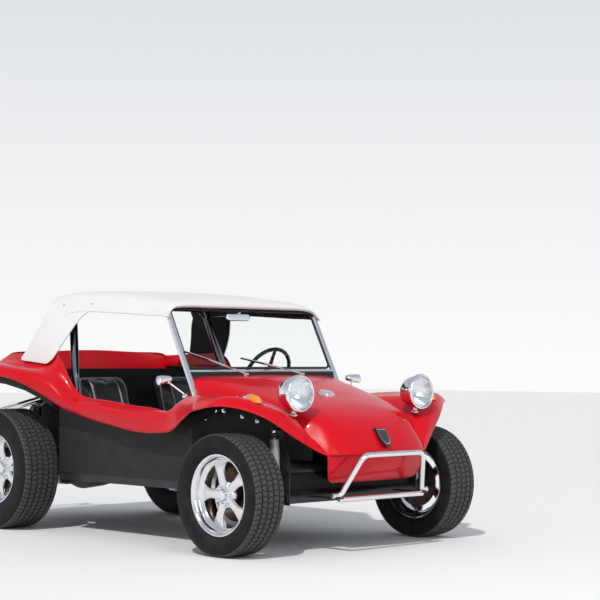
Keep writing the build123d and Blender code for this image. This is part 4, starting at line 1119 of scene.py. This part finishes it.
mirror_parts = mirror_head(-1) + mirror_head(1)
for s in SIDES:
    mirror_parts.append(pipe(sided(s, *MIRROR_ARM), 4.5, CHROME, 20, 14))
    mirror_parts.append(turned(ARM_FOOT, CHROME, UP, car(-474, s * 622, 797), 28, 2))
    ball = [(9 * math.sin(a) + 0.2, 9 * math.cos(a)) for a in np.linspace(0, math.pi, 11)]
    mirror_parts.append(turned(ball, CHROME, UP, car(-523, s * 694, 872), 18))
rows = []
for t in np.linspace(-1, 1, 19):
    end = max(0.0, 1 - abs(t) ** 10) ** 0.5
    rows.append([(8 * end * bulge(math.cos(a), 0.6), 94 * t, 23.5 * end * bulge(math.sin(a), 0.5))
                 for a in angles(24)])
inner = cleaned(grid(metres(rows), CHROME, closed_v=True), 1e-5, 50)
turn = Matrix.Rotation(math.radians(-10), 4, "Y")
mirror_parts.append(moved(inner, Matrix.Translation(Vector(car(-742, -10, 1236))) @ turn))
stem = [screen(-10, 376, -12), *line((-739, -10, 1262), (-744, -10, 1240))]
mirror_parts.append(pipe(stem, 5, CHROME, 10, 12))
fit("mirror_set", mirror_parts, "chrome", "mirrors")

# Wipers

WIPER_PIVOT = ((0.3, 21), (6.5, 20), (8, 15), (11, 10), (13.5, 4), (13.5, -10), (0.3, -10))
BLADE = metres(((-1.2, -8), (1.2, -8), (3, 0), (3, 3), (-3, 3), (-3, 0)))
wiper_chrome, wiper_black = [], []
for pivot_y, tip_y, tip_h in ((-190, -525, 106), (235, -139, 70)):
    pivot, tip = Vector(car(-474, pivot_y, 906)), screen(tip_y, tip_h, 21)
    elbow = pivot.lerp(tip, 0.16) + SCREEN_OUT * 0.014
    hold = pivot.lerp(tip, 0.66) + SCREEN_OUT * 0.008
    way = (tip - hold).normalized()
    yoke = [hold + way * a + SCREEN_OUT * b for a, b in ((-0.115, 0.001), (0.0, 0.004), (0.120, 0.001))]
    rubber = [hold + way * a + SCREEN_OUT * b for a, b in ((-0.155, -0.004), (0.0, -0.0045), (0.145, -0.004))]
    wiper_chrome.append(turned(WIPER_PIVOT, CHROME, SCREEN_OUT, pivot, 28, 1.5))
    arm = [pivot + SCREEN_OUT * 0.014, elbow, hold]
    wiper_chrome.append(swept(arm, bar(11, 5, 2), CHROME, up=SCREEN_OUT))
    wiper_chrome.append(swept(yoke, bar(5, 3, 1), CHROME, up=SCREEN_OUT))
    wiper_black.append(swept(rubber, BLADE, GUM, up=SCREEN_OUT))
fit("wiper_arms", wiper_chrome, "chrome", "wipers")
fit("wiper_blades", wiper_black, "dark_grip", "wipers")

# Blank plate on the nose

PLATE_OUT = Vector((0.815, 0, 0.58)).normalized()
PLATE_UP = Vector((-0.58, 0, 0.815)).normalized()


def shield_plate(grow, lift, thickness, finish):
    """A blank shield: straight top with small ears, rounded bottom."""
    half, top, low = 0.040 * grow, 0.050 * grow, -0.062 * grow
    ears = ((-0.86, 0.80), (-1.02, 1.0), (-0.5, 0.90), (0, 0.93), (0.5, 0.90), (1.02, 1.0), (0.86, 0.80))
    pts = [(half * y, top * z) for y, z in ears]
    curve = [(half * 0.88 * math.cos(a) ** 0.85, low * math.sin(a)) for a in np.linspace(0.0, math.pi / 2, 9)]
    pts += curve + [(-y, z) for y, z in reversed(curve[:8])]
    foot = Vector(car(384, 0, 595.5)) + PLATE_OUT * (lift / 1000)
    return plate([foot + LEFT * y + PLATE_UP * z for y, z in pts], PLATE_OUT, thickness, finish)


shields = [shield_plate(*shield) for shield in
           ((1.0, -12, 16.5, BADGE_BLACK), (0.86, 3.5, 1.8, CHROME), (0.76, 4.5, 2.2, BADGE_BLACK))]
fit("nose_plate", shields, "badge_black", "badge")

# Fuel cap on the hood

CAP_BEADS = 24
cap = [(0.3, 18.5), (20, 18), (34, 16), (40.5, 12.5), (41.5, 8.5), (44, 7), (47.5, 4.5), (48, -3), (0.3, -3)]
filler = [turned(cap, CHROME, UP, count=64, bend=1.5)]
for a in angles(CAP_BEADS):
    filler.append(moved(domed(2.4, 2.6, 8), Vector((0.0412 * math.cos(a), 0.0412 * math.sin(a), 0.0085))))
cap_frame = seat_on(*dropped(shell, car(-18, -22, 1200)))
fit("fuel_cap", [moved(joined("fuel_cap", filler), cap_frame)], "chrome")

# Screws and studs on the shell, hardtop and arches

STUDS = ((-1682, 1314), (-1408, 1315))
FRONT_SCREWS = ((150, 620), (20, 690), (-120, 700), (-300, 680))
REAR_SCREWS = ((-2350, 620), (-2200, 640), (-2480, 600))
ARCH_BOLTS = ((-403, 678), (-346, 722), (-292, 722), (-183, 694), (-91, 672))


def from_sides(target, places):
    return [dropped(target, car(x, s * 900, z), (0, -s, 0)) for s in SIDES for x, z in places]


fit("hardtop_studs", [copies_at(domed(5.5, 4.5), from_sides(hardtop, STUDS), CHROME)], "chrome")
marks = []
for s in SIDES:
    marks += [dropped(shell, car(x, s * y, 1000)) for x, y in FRONT_SCREWS]
    marks += [dropped(shell, car(x, s * y, 1200)) for x, y in REAR_SCREWS]
fit("fender_screws", [copies_at(domed(5, 3.8), marks, CHROME)], "chrome")
fit("arch_bolts", [copies_at(hex_bolt(11.5), from_sides(liner, ARCH_BOLTS), CHROME)], "chrome")

# Seats: padded cushions and backs, filled out by cloth, with piping made pale as a painted highlight

SEAT_Y = 0.300
SEAMS = (-0.098, 0.098)


def pad_form(places, half, thick):
    """A closed slab along a side line, its section a soft rectangle and its ends rounded."""
    pts = through([metres((x, 0, z)) for x, z in places], 26)
    rows = []
    for k, here in enumerate(pts):
        t = abs(2 * k / (len(pts) - 1) - 1)
        along = pts[min(k + 1, len(pts) - 1)] - pts[max(k - 1, 0)]
        along = along / np.linalg.norm(along)
        out = np.array([-along[2], 0.0, along[0]])
        end = max(0.02, 1 - t**9) ** 0.5
        shrink = 1 - 0.20 * t**7
        row = []
        for a in np.linspace(0, TURN, 44, endpoint=False):
            across_it = half * shrink * bulge(math.cos(a), 0.33)
            up = thick * end * bulge(math.sin(a), 0.45)
            row.append(np.array([here[0] + FRONT_AXLE_X, across_it, here[2]]) + out * up)
        rows.append(row)
    return cleaned(capped(grid(rows, VINYL, closed_v=True)))


def points_of(obj, what="co"):
    return np.array([getattr(v, what)[:] for v in obj.data.vertices])


def plumped(obj, pressure, reach, frames=20):
    """Swell a pad with cloth under pressure, no point moving further than the reach."""
    mesher = obj.modifiers.new("mesher", "REMESH")
    mesher.mode, mesher.voxel_size = "VOXEL", 0.008
    baked(obj)
    start = points_of(obj)
    cloth = obj.modifiers.new("swell", "CLOTH")
    cloth.settings.use_pressure = True
    cloth.settings.uniform_pressure_force = pressure
    cloth.settings.quality = 4
    cloth.settings.mass = 0.25
    cloth.settings.tension_stiffness = cloth.settings.compression_stiffness = 12
    cloth.settings.bending_stiffness = 2
    cloth.settings.effector_weights.gravity = 0
    cloth.collision_settings.use_collision = False
    cloth.point_cache.frame_start, cloth.point_cache.frame_end = 1, frames
    for frame_number in range(1, frames + 1):
        scene.frame_set(frame_number)
    swollen = obj.evaluated_get(bpy.context.evaluated_depsgraph_get()).to_mesh()
    step = np.array([v.co[:] for v in swollen.vertices]) - start
    obj.modifiers.clear()
    length = np.linalg.norm(step, axis=1, keepdims=True)
    now = start + step * np.minimum(1.0, reach / np.maximum(length, 1e-9))
    obj.data.vertices.foreach_set("co", now.ravel())
    scene.frame_set(1)
    softer = obj.modifiers.new("softer", "SMOOTH")
    softer.factor, softer.iterations = 0.5, 4
    finer = obj.modifiers.new("finer", "SUBSURF")
    finer.levels = finer.render_levels = 1
    baked(obj)
    obj.data.materials.clear()
    obj.data.materials.append(VINYL.material)
    obj.data.shade_smooth()
    return obj


def grooved(obj, depth=0.007, width=0.007):
    """Press sewn channels into a pad along the seams."""
    coords = points_of(obj)
    near = np.max([np.exp(-(((coords[:, 1] - seam) / width) ** 2)) for seam in SEAMS], axis=0)
    coords -= points_of(obj, "normal") * (near * depth)[:, None]
    obj.data.vertices.foreach_set("co", coords.ravel())
    obj.data.update()
    return obj


def piping(pad, low, high, half, away):
    """A welt made pale as a painted highlight: a rounded rectangle from low to high over a pad's face, laid
    on it from one side.
    """
    laid = []
    for a in angles(90):
        t = 0.5 + 0.5 * bulge(math.sin(a), 0.35)
        x, z = (p + (q - p) * t for p, q in zip(low, high))
        place = Vector(car(x, half * bulge(math.cos(a), 0.35), z)) + away * 0.25
        hit, where, normal, _ = pad.ray_cast(place, -away.normalized())
        if hit:
            laid.append(where + normal * 0.0015)
    laid = [laid[0]] + [(a + b * 2 + c) / 4 for a, b, c in zip(laid, laid[1:], laid[2:])] + [laid[-1]]
    return swept(laid, circle(4.5, 8), PALE_TICKS_AND_WELT_HIGHLIGHT, closed=True)


cushion = pad_form(((-1480, 402), (-1360, 404), (-1240, 412), (-1120, 420)), 0.176, 0.060)
cushion = grooved(plumped(cushion, 4.0, 0.022))
backrest = pad_form(((-1515, 470), (-1572, 600), (-1628, 740), (-1684, 888)), 0.182, 0.056)
backrest = grooved(plumped(backrest, 3.0, 0.014))
bpy.context.view_layer.update()
FACE_WAY = Vector((0.90, 0, 0.43))
welts = []
for half in (165, 98):
    welts.append(piping(backrest, (-1545, 540), (-1668 + half * 0.05, 915 - half * 0.15), half, FACE_WAY))
    welts.append(piping(cushion, (-1430, 450), (-1120, 465), half, UP))
welts = joined("welts", welts)
for s, side in ((1, "l"), (-1, "r")):
    for source, kind in ((cushion, "cushion"), (backrest, "back"), (welts, "piping")):
        made = moved(placed("seat", source.data.copy()), LEFT * (s * SEAT_Y))
        stands_for = () if source is welts else ("seats",)
        fit("seat_" + kind + "_" + side, [made], "black_vinyl", *stands_for)
for source in (cushion, backrest, welts):
    bpy.data.objects.remove(source)
seat_bases = []
for s in SIDES:
    seat_bases.append(rod((-1500, s * 300, 324), (-1090, s * 300, 324), bar(330, 34, 8), TIDY_BLACK))
    hinge = ((20, 197), (24, 192), (24, 184))
    seat_bases.append(turned(hinge, CHROME, (0, s, 0), car(-1505, s * 290, 432), 28, 2))
fit("seat_runners", seat_bases, "black_steel")

# Steering wheel and column

WHEEL_AT = Vector(car(-870, 330, 910))
COLUMN_WAY = Vector((math.cos(math.radians(28)), 0, -math.sin(math.radians(28))))
WHEEL_UP = COLUMN_WAY.cross(-LEFT).normalized()
WHEEL_RING = 164
EYELET = ((5.2, -3.6), (7.8, -3.6), (7.8, 3.6), (5.2, 3.6))
BOSS = ((0.3, -22), (20, -21), (26, -16), (28, -8), (34, -4), (34, 10), (27, 14), (24, 30), (0.3, 30))
BOSS_RING = ((26.5, -17.5), (29, -15), (29.5, -9), (27, -8.5))


def rim_point(angle, reach, lift=0):
    """A point of the steering wheel's plane: angle from its top, reach from the hub."""
    out = LEFT * (reach * math.sin(angle)) + WHEEL_UP * (reach * math.cos(angle))
    return WHEEL_AT + (out + COLUMN_WAY * lift) / 1000


def down_column(along, y=0, z=0):
    """A place along the steering column, counted from its wheel."""
    return WHEEL_AT + (COLUMN_WAY * along + LEFT * y + UP * z) / 1000


ring_path = [rim_point(a, WHEEL_RING) for a in angles(96)]
grip_sizes = [1.0 + 0.045 * math.cos(24 * a) for a in angles(96)]
wheel_parts = [swept(ring_path, circle(11.5, 16), GRIP, up=COLUMN_WAY, closed=True, sizes=grip_sizes)]
for a in (TURN / 4, TURN / 2, TURN * 3 / 4):
    spoke = [rim_point(a, 26, 4), rim_point(a, 90, 1), rim_point(a, 156)]
    wheel_parts.append(swept(spoke, bar(30, 5, 1.8), TIDY_BLACK, up=COLUMN_WAY, sizes=[1.15, 0.9, 0.8]))
    for reach in (60, 88, 116):
        wheel_parts.append(turned(EYELET, CHROME, COLUMN_WAY, rim_point(a, reach, 1.5), 20, ends="ring"))
wheel_parts.append(turned(BOSS, TIDY_BLACK, COLUMN_WAY, WHEEL_AT, 48, 2))
wheel_parts.append(turned(BOSS_RING, CHROME, COLUMN_WAY, WHEEL_AT, 48, ends="ring"))
fit("steering_rim", wheel_parts, "dark_grip", "steering_wheel", body="steering_wheel")

# Column, levers and pedals

COLLAR = ((19, 0), (25.5, 0), (26.5, 6), (26.5, 30), (23.5, 46), (19, 50))
lever = line((-985, 0, 446), (-972, 0, 530), (-940, 0, 590), (-930, 0, 640))
knob = [(0.3, 22)] + [(20.5 * math.sin(a), 20.5 * math.cos(a)) for a in np.linspace(0.25, 2.6, 12)]
knob += [(8, -22), (0.3, -22)]
gaiter = [(46 - 3.5 * k + (4 if k % 2 else 0), 6.5 * k) for k in range(9)]
gaiter = [(0.3, 0), *gaiter, (8, 56), (0.3, 56)]
brake_path = line((-1250, 22, 460), (-1160, 22, 488), (-1062, 22, 520))
button = ((0.3, 12), (6, 11), (7.5, 4), (7.5, -4), (0.3, -4))
fit("cabin_controls", [
    swept([down_column(40), down_column(1008)], circle(18.5, 28), TIDY_BLACK),
    turned(COLLAR, TIDY_BLACK, COLUMN_WAY, down_column(42), 32, 2, ends="open"),
    pipe([down_column(70, 20), down_column(60, 90, 12), down_column(50, 120, 15)], 4, CHROME, 10, 12),
    pipe(lever, 6, CHROME, 30, 14),
    turned(knob, TIDY_BLACK, UP, car(-927, 0, 655), 28),
    turned(gaiter, GUM, UP, car(-984, 0, 446), 32),
    swept(brake_path, bar(20, 24, 7), TIDY_BLACK),
    swept(brake_path[1:], circle(15, 20), GRIP),
    turned(button, CHROME, (0.95, 0, 0.31), brake_path[2], 18, 1),
], "dark_grip", "controls")

# Dials and switches on the dash

SWITCH = ((0.3, 22), (7.5, 21), (8, 16), (3.5, 14), (3.5, 4), (9.5, 3), (10, -2), (0.3, -2))
NEEDLE_TURN = -70
dial_chrome, dial_face, dial_marks = [], [], []
for y, radius in ((392, 44), (268, 44), (120, 26), (50, 26)):
    centre = Vector(car(-539.5, y, 820))
    bezel = [(radius * r, h) for r, h in ((0.86, -1), (0.90, 6.5), (0.97, 7.5), (1.03, 5.5), (1.05, -2))]
    dial_chrome.append(turned(bezel, CHROME, -AHEAD, centre, 40, 0.8, ends="ring"))
    dial_face.append(turned([(radius * 0.88, 1.8), (radius * 0.88, -1)], DIAL, -AHEAD, centre, 40))
    ticks = [(26 * k - 130, 0.66, 0.80, 2.2, bar(1.8, 0.8, 0.2, 1), PALE_TICKS_AND_WELT_HIGHLIGHT, None) for k in range(11)]
    needle = (NEEDLE_TURN, -0.15, 0.70, 3.2, bar(2.2, 0.8, 0.3, 1), AMBER, [1.3, 0.5])
    for turn, low, high, lift, section, finish, sizes in (*ticks, needle):
        a = math.radians(turn)
        out = Vector((0, -math.sin(a), math.cos(a))) * (radius / 1000)
        ends = [centre + out * share - AHEAD * (lift / 1000) for share in (low, high)]
        dial_marks.append(swept(ends, section, finish, sizes=sizes))
for y in (-30, -80, -130, -180):
    dial_chrome.append(turned(SWITCH, CHROME, -AHEAD, car(-539.5, y, 822), 20, 0.8))
fit("dial_bezels", dial_chrome, "chrome")
fit("dial_faces", dial_face, "dark_grip")
fit("dial_marks", dial_marks, "dark_grip")

# Front dampers

DAMPER_CAN = ((12, 30), (20.5, 40), (22.2, 48), (22.2, 180), (23.2, 183), (23.2, 280), (22.2, 285), (12, 289))
DAMPER_EYE = ((8.5, -20), (18.5, -20), (19.5, -16), (19.5, 16), (18.5, 20), (8.5, 20))
bodies, bushes = [], []
for s in SIDES:
    low, top = Vector(car(130, s * 520, 300)), Vector(car(110, s * 520, 638))
    way, length = (top - low).normalized(), (top - low).length * 1000
    bush = [(r, length + h) for r, h in ((16.5, -46), (17.5, -40), (15, -34), (17.5, -28), (16.5, -20))]
    nut = [(r, length + h) for r, h in ((0.3, 4), (8.5, 3), (10, -3), (10, -18), (0.3, -18))]
    bodies.append(turned(DAMPER_CAN, GREY, way, low, 36, 1.5))
    bodies.append(turned([(6.2, 280), (6.2, length - 22)], CHROME, way, low, 20))
    bushes.append(turned(bush, GUM, way, low, 28, 1.5))
    bodies.append(turned(nut, CHROME, way, low, 6, sharp=30))
    bushes.append(turned(DAMPER_EYE, TIDY_BLACK, LEFT, low, 32, 1.5, ends="open"))
    bodies.append(moved(hex_bolt(11.5), seat_on(low + LEFT * (s * 0.021), (0, s, 0))))
fit("damper_bodies", bodies, "grey_paint", "front_shocks")
fit("damper_bushes", bushes, "black_steel", "front_shocks")

# Engine fittings

HEAD_X, HEAD_Z = -2360, 360
CYLINDER_X = (-2290, -2430)
FINS, FIN_PITCH = 14, 12
SHROUD_HALF_Y, SHROUD_HALF_Z, SHROUD_Z, SHROUD_BEND = 280, 145, 590, 100
PULLEY_X = -2593.5
CRANK_AT, GENERATOR_AT = Vector(car(PULLEY_X, 0, 424)), Vector(car(PULLEY_X, 0, 520))
CASE_X = -2531.5
FAN_RING = ((64, -2), (116, -2), (116, 4), (108, 8), (96, 8), (90, 4), (64, 4))
GENERATOR = ((61, 0), (62.5, 4), (62.5, 16), (60.5, 20), (60.5, 78), (62.5, 82), (62.5, 98), (59, 106),
             (40, 118), (20, 122))
STRAP = ((62.5, -11), (65, -11), (65, 11), (62.5, 11))
CARBURETTOR = ((30, 0), (30, 8), (20, 12), (20, 22), (32, 28), (34, 62), (26, 68), (26, 92))
AIR_CLEANER = ((70, 0), (74.5, 3), (74.5, 8), (69, 10), (69, 34), (74.5, 36), (74.5, 41), (66, 46), (20, 48))
WING_NUT = ((0.3, 12), (4, 11), (6, 3), (9, 0), (0.3, 0))
OIL_FILLER = ((28, 0), (26, 50), (26, 78), (34, 80), (34, 100), (30, 104))
DISTRIBUTOR = ((19, 0), (19, 40), (31, 44), (31, 70), (27, 80), (14, 84))
SUMP_PLATE = ((66, 0), (68, 3), (68, 8), (40, 12))


def fin_stack(x, s):
    """Cooling fins round one cylinder."""
    profile = [(0.3, 152)]
    for h in range(154, 154 + FIN_PITCH * FINS, FIN_PITCH):
        profile += [(59, h), (68, h + 0.8), (68, h + 2.8), (59, h + 4)]
    profile.append((0.3, 154 + FIN_PITCH * FINS))
    return turned(profile, CAST, (0, s, 0), car(x, 0, HEAD_Z), 30, ends="open")


def shroud_line(x):
    """The fan shroud's rounded outline at one length."""
    wide, tall, reach = SHROUD_HALF_Y - SHROUD_BEND, SHROUD_HALF_Z - SHROUD_BEND, SHROUD_BEND + 1
    points = []
    for sy, sz, first in ((1, 1, 0), (-1, 1, 90), (-1, -1, 180), (1, -1, 270)):
        for k in range(9):
            a = math.radians(first + 90 * k / 8)
            points.append(car(x, sy * wide + reach * math.cos(a), SHROUD_Z + sz * tall + reach * math.sin(a)))
    return points


def pulley(centre, radius, hub):
    """A grooved pulley with its hub, facing the tail."""
    profile = [(radius, -12), (radius, -8), (radius - 8, -3), (radius - 8, 3), (radius, 8), (radius, 12)]
    profile += [(radius - 6, 12), (radius - 9, 6), (hub + 8, 6), (hub, 13)]
    return turned(profile, TIDY_BLACK, -AHEAD, centre + AHEAD * 0.014, 48, sharp=35)


cast, black, bright = [], [], []
for s in SIDES:
    cover_ends = ((HEAD_X - 131, s * 363, HEAD_Z), (HEAD_X + 131, s * 363, HEAD_Z))
    cast += [fin_stack(x, s) for x in CYLINDER_X]
    bright.append(rod(*cover_ends, bar(74, 114, 22, 6), TIDY_BLACK))
    cast.append(rod((HEAD_X - 136, s * 329, HEAD_Z), (HEAD_X + 136, s * 329, HEAD_Z), bar(14, 124, 4), CAST))
    bail = sided(s, (HEAD_X, 322, 428), (HEAD_X, 404, 412), (HEAD_X, 404, 308), (HEAD_X, 322, 292))
    bright.append(pipe(bail, 3.4, CHROME, 20, 12))
    black.append(rod((HEAD_X, s * 150, 437.5), (HEAD_X, s * 322, 437.5), bar(290, 14, 6), TIDY_BLACK))
    black.append(rod((HEAD_X - 145, s * 150, 395), (HEAD_X - 145, s * 322, 395), bar(6, 90, 2), TIDY_BLACK))
    for x in CYLINDER_X:
        bright += [rod((x + shift, s * 140, 285), (x + shift, s * 330, 292), circle(9.5, 14), STEEL)
                   for shift in (-26, 26)]
    riser = sided(s, (HEAD_X, 338, 405), (HEAD_X, 338, 520), (-2478, 270, 622), (-2478, 0, 622))
    cast.append(pipe(riser, 16.5, ALLOY, 50, 18))
    cast.append(rod((HEAD_X - 45, s * 338, 424), (HEAD_X + 45, s * 338, 424), bar(46, 12, 4), ALLOY))
for x in (-2418, -2360, -2302):
    black.append(swept(shroud_line(x), circle(4.5, 10), TIDY_BLACK, up=AHEAD, closed=True))
for y, drop, lean in ((-245, 22, -0.6), (-110, 0, 0), (110, 0, 0), (245, 22, 0.6)):
    for x in (-2390, -2330):
        top = SHROUD_Z + SHROUD_HALF_Z - drop
        bright.append(moved(domed(5.5, 3.5), seat_on(car(x, y, top), (0, lean, 1))))
black.append(turned(FAN_RING, TIDY_BLACK, -AHEAD, car(-2420, 0, 560), 56, ends="ring", sharp=35))
black.append(turned(GENERATOR, TIDY_BLACK, -AHEAD, car(-2424, 0, 520), 56, 1.5))
bright.append(turned(STRAP, STEEL, -AHEAD, car(-2478, 0, 520), 56, ends="ring", sharp=35))
cast.append(rod((-2478, 0, 400), (-2478, 0, 470), bar(60, 86, 12), CAST, up=AHEAD))
black += [pulley(CRANK_AT, 63.5, 18), pulley(GENERATOR_AT, 31.5, 10)]
for centre, size in ((CRANK_AT, 18), (GENERATOR_AT, 13)):
    bright.append(moved(hex_bolt(size), seat_on(centre + AHEAD * 0.002, -AHEAD, LEFT)))
belt = []
for centre, reach, first in ((GENERATOR_AT, 0.0275, 0), (CRANK_AT, 0.0590, 180)):
    for k in range(13):
        a = math.radians(first + 15 * k)
        belt.append(centre + Vector((0.014, reach * math.cos(a), reach * math.sin(a))))
black.append(swept(belt, bar(11, 7, 2), GUM, up=AHEAD, closed=True))
cast.append(turned(CARBURETTOR, ALLOY, UP, car(-2500, 0, 628), 32, 2, sharp=35))
cast.append(rod((-2500, 20, 672), (-2500, 62, 672), bar(46, 40, 8), ALLOY))
bright.append(turned(AIR_CLEANER, CHROME, UP, car(-2500, 0, 712), 56, sharp=35))
bright.append(turned(WING_NUT, CHROME, UP, car(-2500, 0, 760), 20, 1))
black.append(turned(OIL_FILLER, TIDY_BLACK, UP, car(-2492, 108, 505), 32, 2))
black.append(turned(DISTRIBUTOR, GUM, UP, car(-2492, -108, 505), 32, 2))
for k in range(4):
    a = math.radians(45 + 90 * k)
    tower = car(-2492 + 19 * math.cos(a), -108 + 19 * math.sin(a), 583)
    black.append(turned(((6.5, 0), (5.5, 14)), GUM, UP, tower, 14))
for y in range(-129, 130, 43):
    top = 350 if abs(y) < 80 else 500
    cast.append(rod((CASE_X, y, 235), (CASE_X, y, top), bar(8, 12, 2), CAST, up=AHEAD))
cast.append(rod((CASE_X, -150, 272), (CASE_X, 150, 272), bar(10, 10, 3), CAST))
cast.append(turned(SUMP_PLATE, CAST, -UP, car(-2365, 0, 220.5), 40, sharp=35))
fit("engine_castings", cast, "cast_alloy")
fit("engine_tinware", black, "black_steel")
fit("engine_bright", bright, "chrome")

# Exhaust

SILENCER_X, SILENCER_Z = -2655, 300
silencer = [(0.3, -306), (40, -305), (54, -300), (60.5, -294), (63.5, -292), (63.5, -286), (60, -283)]
silencer += [(r, -h) for r, h in reversed(silencer)]
TIP = ((20, 0), (20, 60), (22, 62), (22, 141), (21, 142.5), (19.6, 141), (19.6, 80))
TIP_WAY = Vector((-0.140, 0, -0.030)).normalized()


def band(low, high, half):
    """The section of a flat ring, between two radii."""
    return ((low, -half), (high, -half), (high, half), (low, half))


exhaust = [turned(silencer, STEEL, LEFT, car(SILENCER_X, 0, SILENCER_Z), 56, ends="open", sharp=50)]
for s in SIDES:
    strap_at = car(SILENCER_X, s * 190, SILENCER_Z)
    exhaust.append(turned(band(60, 62.5, 12), STEEL, LEFT, strap_at, 56, ends="ring", sharp=35))
    port = sided(s, (HEAD_X, 360, 300), (HEAD_X, 360, 262), (SILENCER_X, 250, 262))
    exhaust.append(pipe(port, 20, STEEL, 30))
    exhaust.append(rod((HEAD_X - 38, s * 360, 293), (HEAD_X + 38, s * 360, 293), bar(50, 8, 3), STEEL))
    tip_at = Vector(car(SILENCER_X + 5, s * 120, 280))
    exhaust.append(turned(TIP, CHROME, TIP_WAY, tip_at, 32))
    clamp_at = tip_at + TIP_WAY * 0.068
    exhaust.append(turned(band(20, 24, 7), STEEL, TIP_WAY, clamp_at, 28, ends="ring", sharp=35))
fit("exhaust_pipes", exhaust, "exhaust_steel", "exhaust")

# Axle boots

REAR_AXLE = car(-2032, 0, 352)
boots = []
for s in SIDES:
    folds = [(64, 108), (64, 118)]
    for k in range(7):
        folds += [(58 - 3.5 * k, 122 + 11 * k), (49 - 3.5 * k, 127.5 + 11 * k)]
    folds += [(36, 200), (36, 214)]
    boots.append(turned(folds, GUM, (0, s, 0), REAR_AXLE, 36, sharp=50))
    for h, r in ((113, 65.5), (207, 37.5)):
        clip = [(a, h + b) for a, b in band(r - 2, r + 1.5, 4)]
        boots.append(turned(clip, STEEL, (0, s, 0), REAR_AXLE, 36, ends="ring", sharp=35))
fit("axle_boots", boots, "black_steel")

# Stays from the roll bar's feet to the tail

STAY = ((-1640, 500, 800), (-1900, 500, 772), (-2420, 500, 676), (-2500, 470, 372))
fit("tail_stays", [pipe(sided(s, *STAY), 20, ALLOY, 60, 24) for s in SIDES], "polished_alloy")

# Black plates that close the front beam and nose as painted shade for the shaded underbody, and the liner
# under the tail's edge

# The chin plate and the beam web are black sheets that stand in for the shaded parts under the nose: painted
# shade
chin_shade_rows = []
for t in (0.0, 0.5, 1.0):
    row = []
    for y in range(-276, 277, 23):
        front = 298 - 12 * (y / 276) ** 4
        row.append(car(front + (150 - front) * t, y, 364.5 + (404 - 364.5) * t))
    chin_shade_rows.append(row)
beam_shade_web = rod((124, -480, 360), (124, 480, 360), bar(6, 120, 2), UNDERCOAT)
fit("nose_closing", [beam_shade_web, walled(grid(chin_shade_rows, UNDERCOAT), 3)], "black_liner")
TAIL_WALL = ((44, 50), (14, 4), (18, -30), (40, -44), (130, -40))
tail_edge = [row[0] for row in SIDE[-6:-1] + REAR]
tail_rows = [line(*((x, y - inwards, z + up) for inwards, up in TAIL_WALL)) for x, y, z in tail_edge]
fit("tail_liner", [walled(doubled(grid(tail_rows, UNDERCOAT)), 4)], "black_liner")

# Carried over nodes get their finishes

FINISHES = {
    PAN_BLACK: ("floor_pan", "front_beam", "knuckle_left", "knuckle_right", "tie_rod", "rear_suspension"),
    CAST: ("transaxle", "engine"),
    LINING: ("tub", "dash"),
    PANEL: ("side_panels",),
    RUST_DISC: ("brake_fl", "brake_fr", "brake_rl", "brake_rr"),
}
for finish, names in FINISHES.items():
    for name in names:
        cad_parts[name].data.materials.clear()
        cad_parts[name].data.materials.append(finish.material)

# Floor, light and sky

floor_finish = Finish("pale_floor", (0.86, 0.86, 0.85), 0.9, Specular_IOR_Level=0.1)
floor = piece([(-40, -40, 0), (40, -40, 0), (40, 40, 0), (-40, 40, 0)], [(0, 1, 2, 3)], floor_finish)
floor.name = "pale_floor"

world = bpy.data.worlds.new("studio")
scene.world = world
world.use_nodes = True
sky = world.node_tree
light = sky.nodes["Background"]
light.inputs["Color"].default_value = (0.80, 0.84, 0.90, 1)
light.inputs["Strength"].default_value = 0.62
gradient = sky.nodes.new("ShaderNodeTexCoord").outputs["Generated"]
height = node(sky, "ShaderNodeSeparateXYZ", {0: gradient}).outputs["Z"]
tone = node(sky, "ShaderNodeValToRGB", {0: height})
STOPS = ((0.0, (0.96, 0.965, 0.97, 1)), (0.55, (0.44, 0.48, 0.54, 1)))
for stop, (tone_at, shade) in zip(tone.color_ramp.elements, STOPS):
    stop.position, stop.color = tone_at, shade
seen = node(sky, "ShaderNodeBackground", {"Color": tone.outputs[0]}).outputs[0]
rays = sky.nodes.new("ShaderNodeLightPath").outputs
sharp_ray = math_node(sky, "MAXIMUM", rays["Is Camera Ray"], rays["Is Glossy Ray"])
sharp_ray = math_node(sky, "MAXIMUM", sharp_ray, rays["Is Transmission Ray"])
mixed = node(sky, "ShaderNodeMixShader", {0: sharp_ray, 1: light.outputs[0], 2: seen})
sky.links.new(mixed.outputs[0], sky.nodes["World Output"].inputs[0])


def lamp(name, kind, place, aim, energy, color):
    data = bpy.data.lights.new(name, kind)
    data.energy, data.color = energy, color
    made = placed(name, data)
    made.location = place
    made.rotation_euler = (Vector(aim) - Vector(place)).to_track_quat("-Z", "Y").to_euler()
    return data


lamp("key", "SUN", (3.0, -5.5, 7.5), (0, 0, 0.5), 2.0, (1.0, 0.97, 0.93)).angle = math.radians(1.2)
fill = lamp("fill", "AREA", (6.5, -2.0, 3.5), (0.3, 0, 0.6), 70.0, (0.92, 0.96, 1.0))
fill.shape = "RECTANGLE"
fill.size = fill.size_y = 3.5

scene.view_settings.view_transform = "Standard"
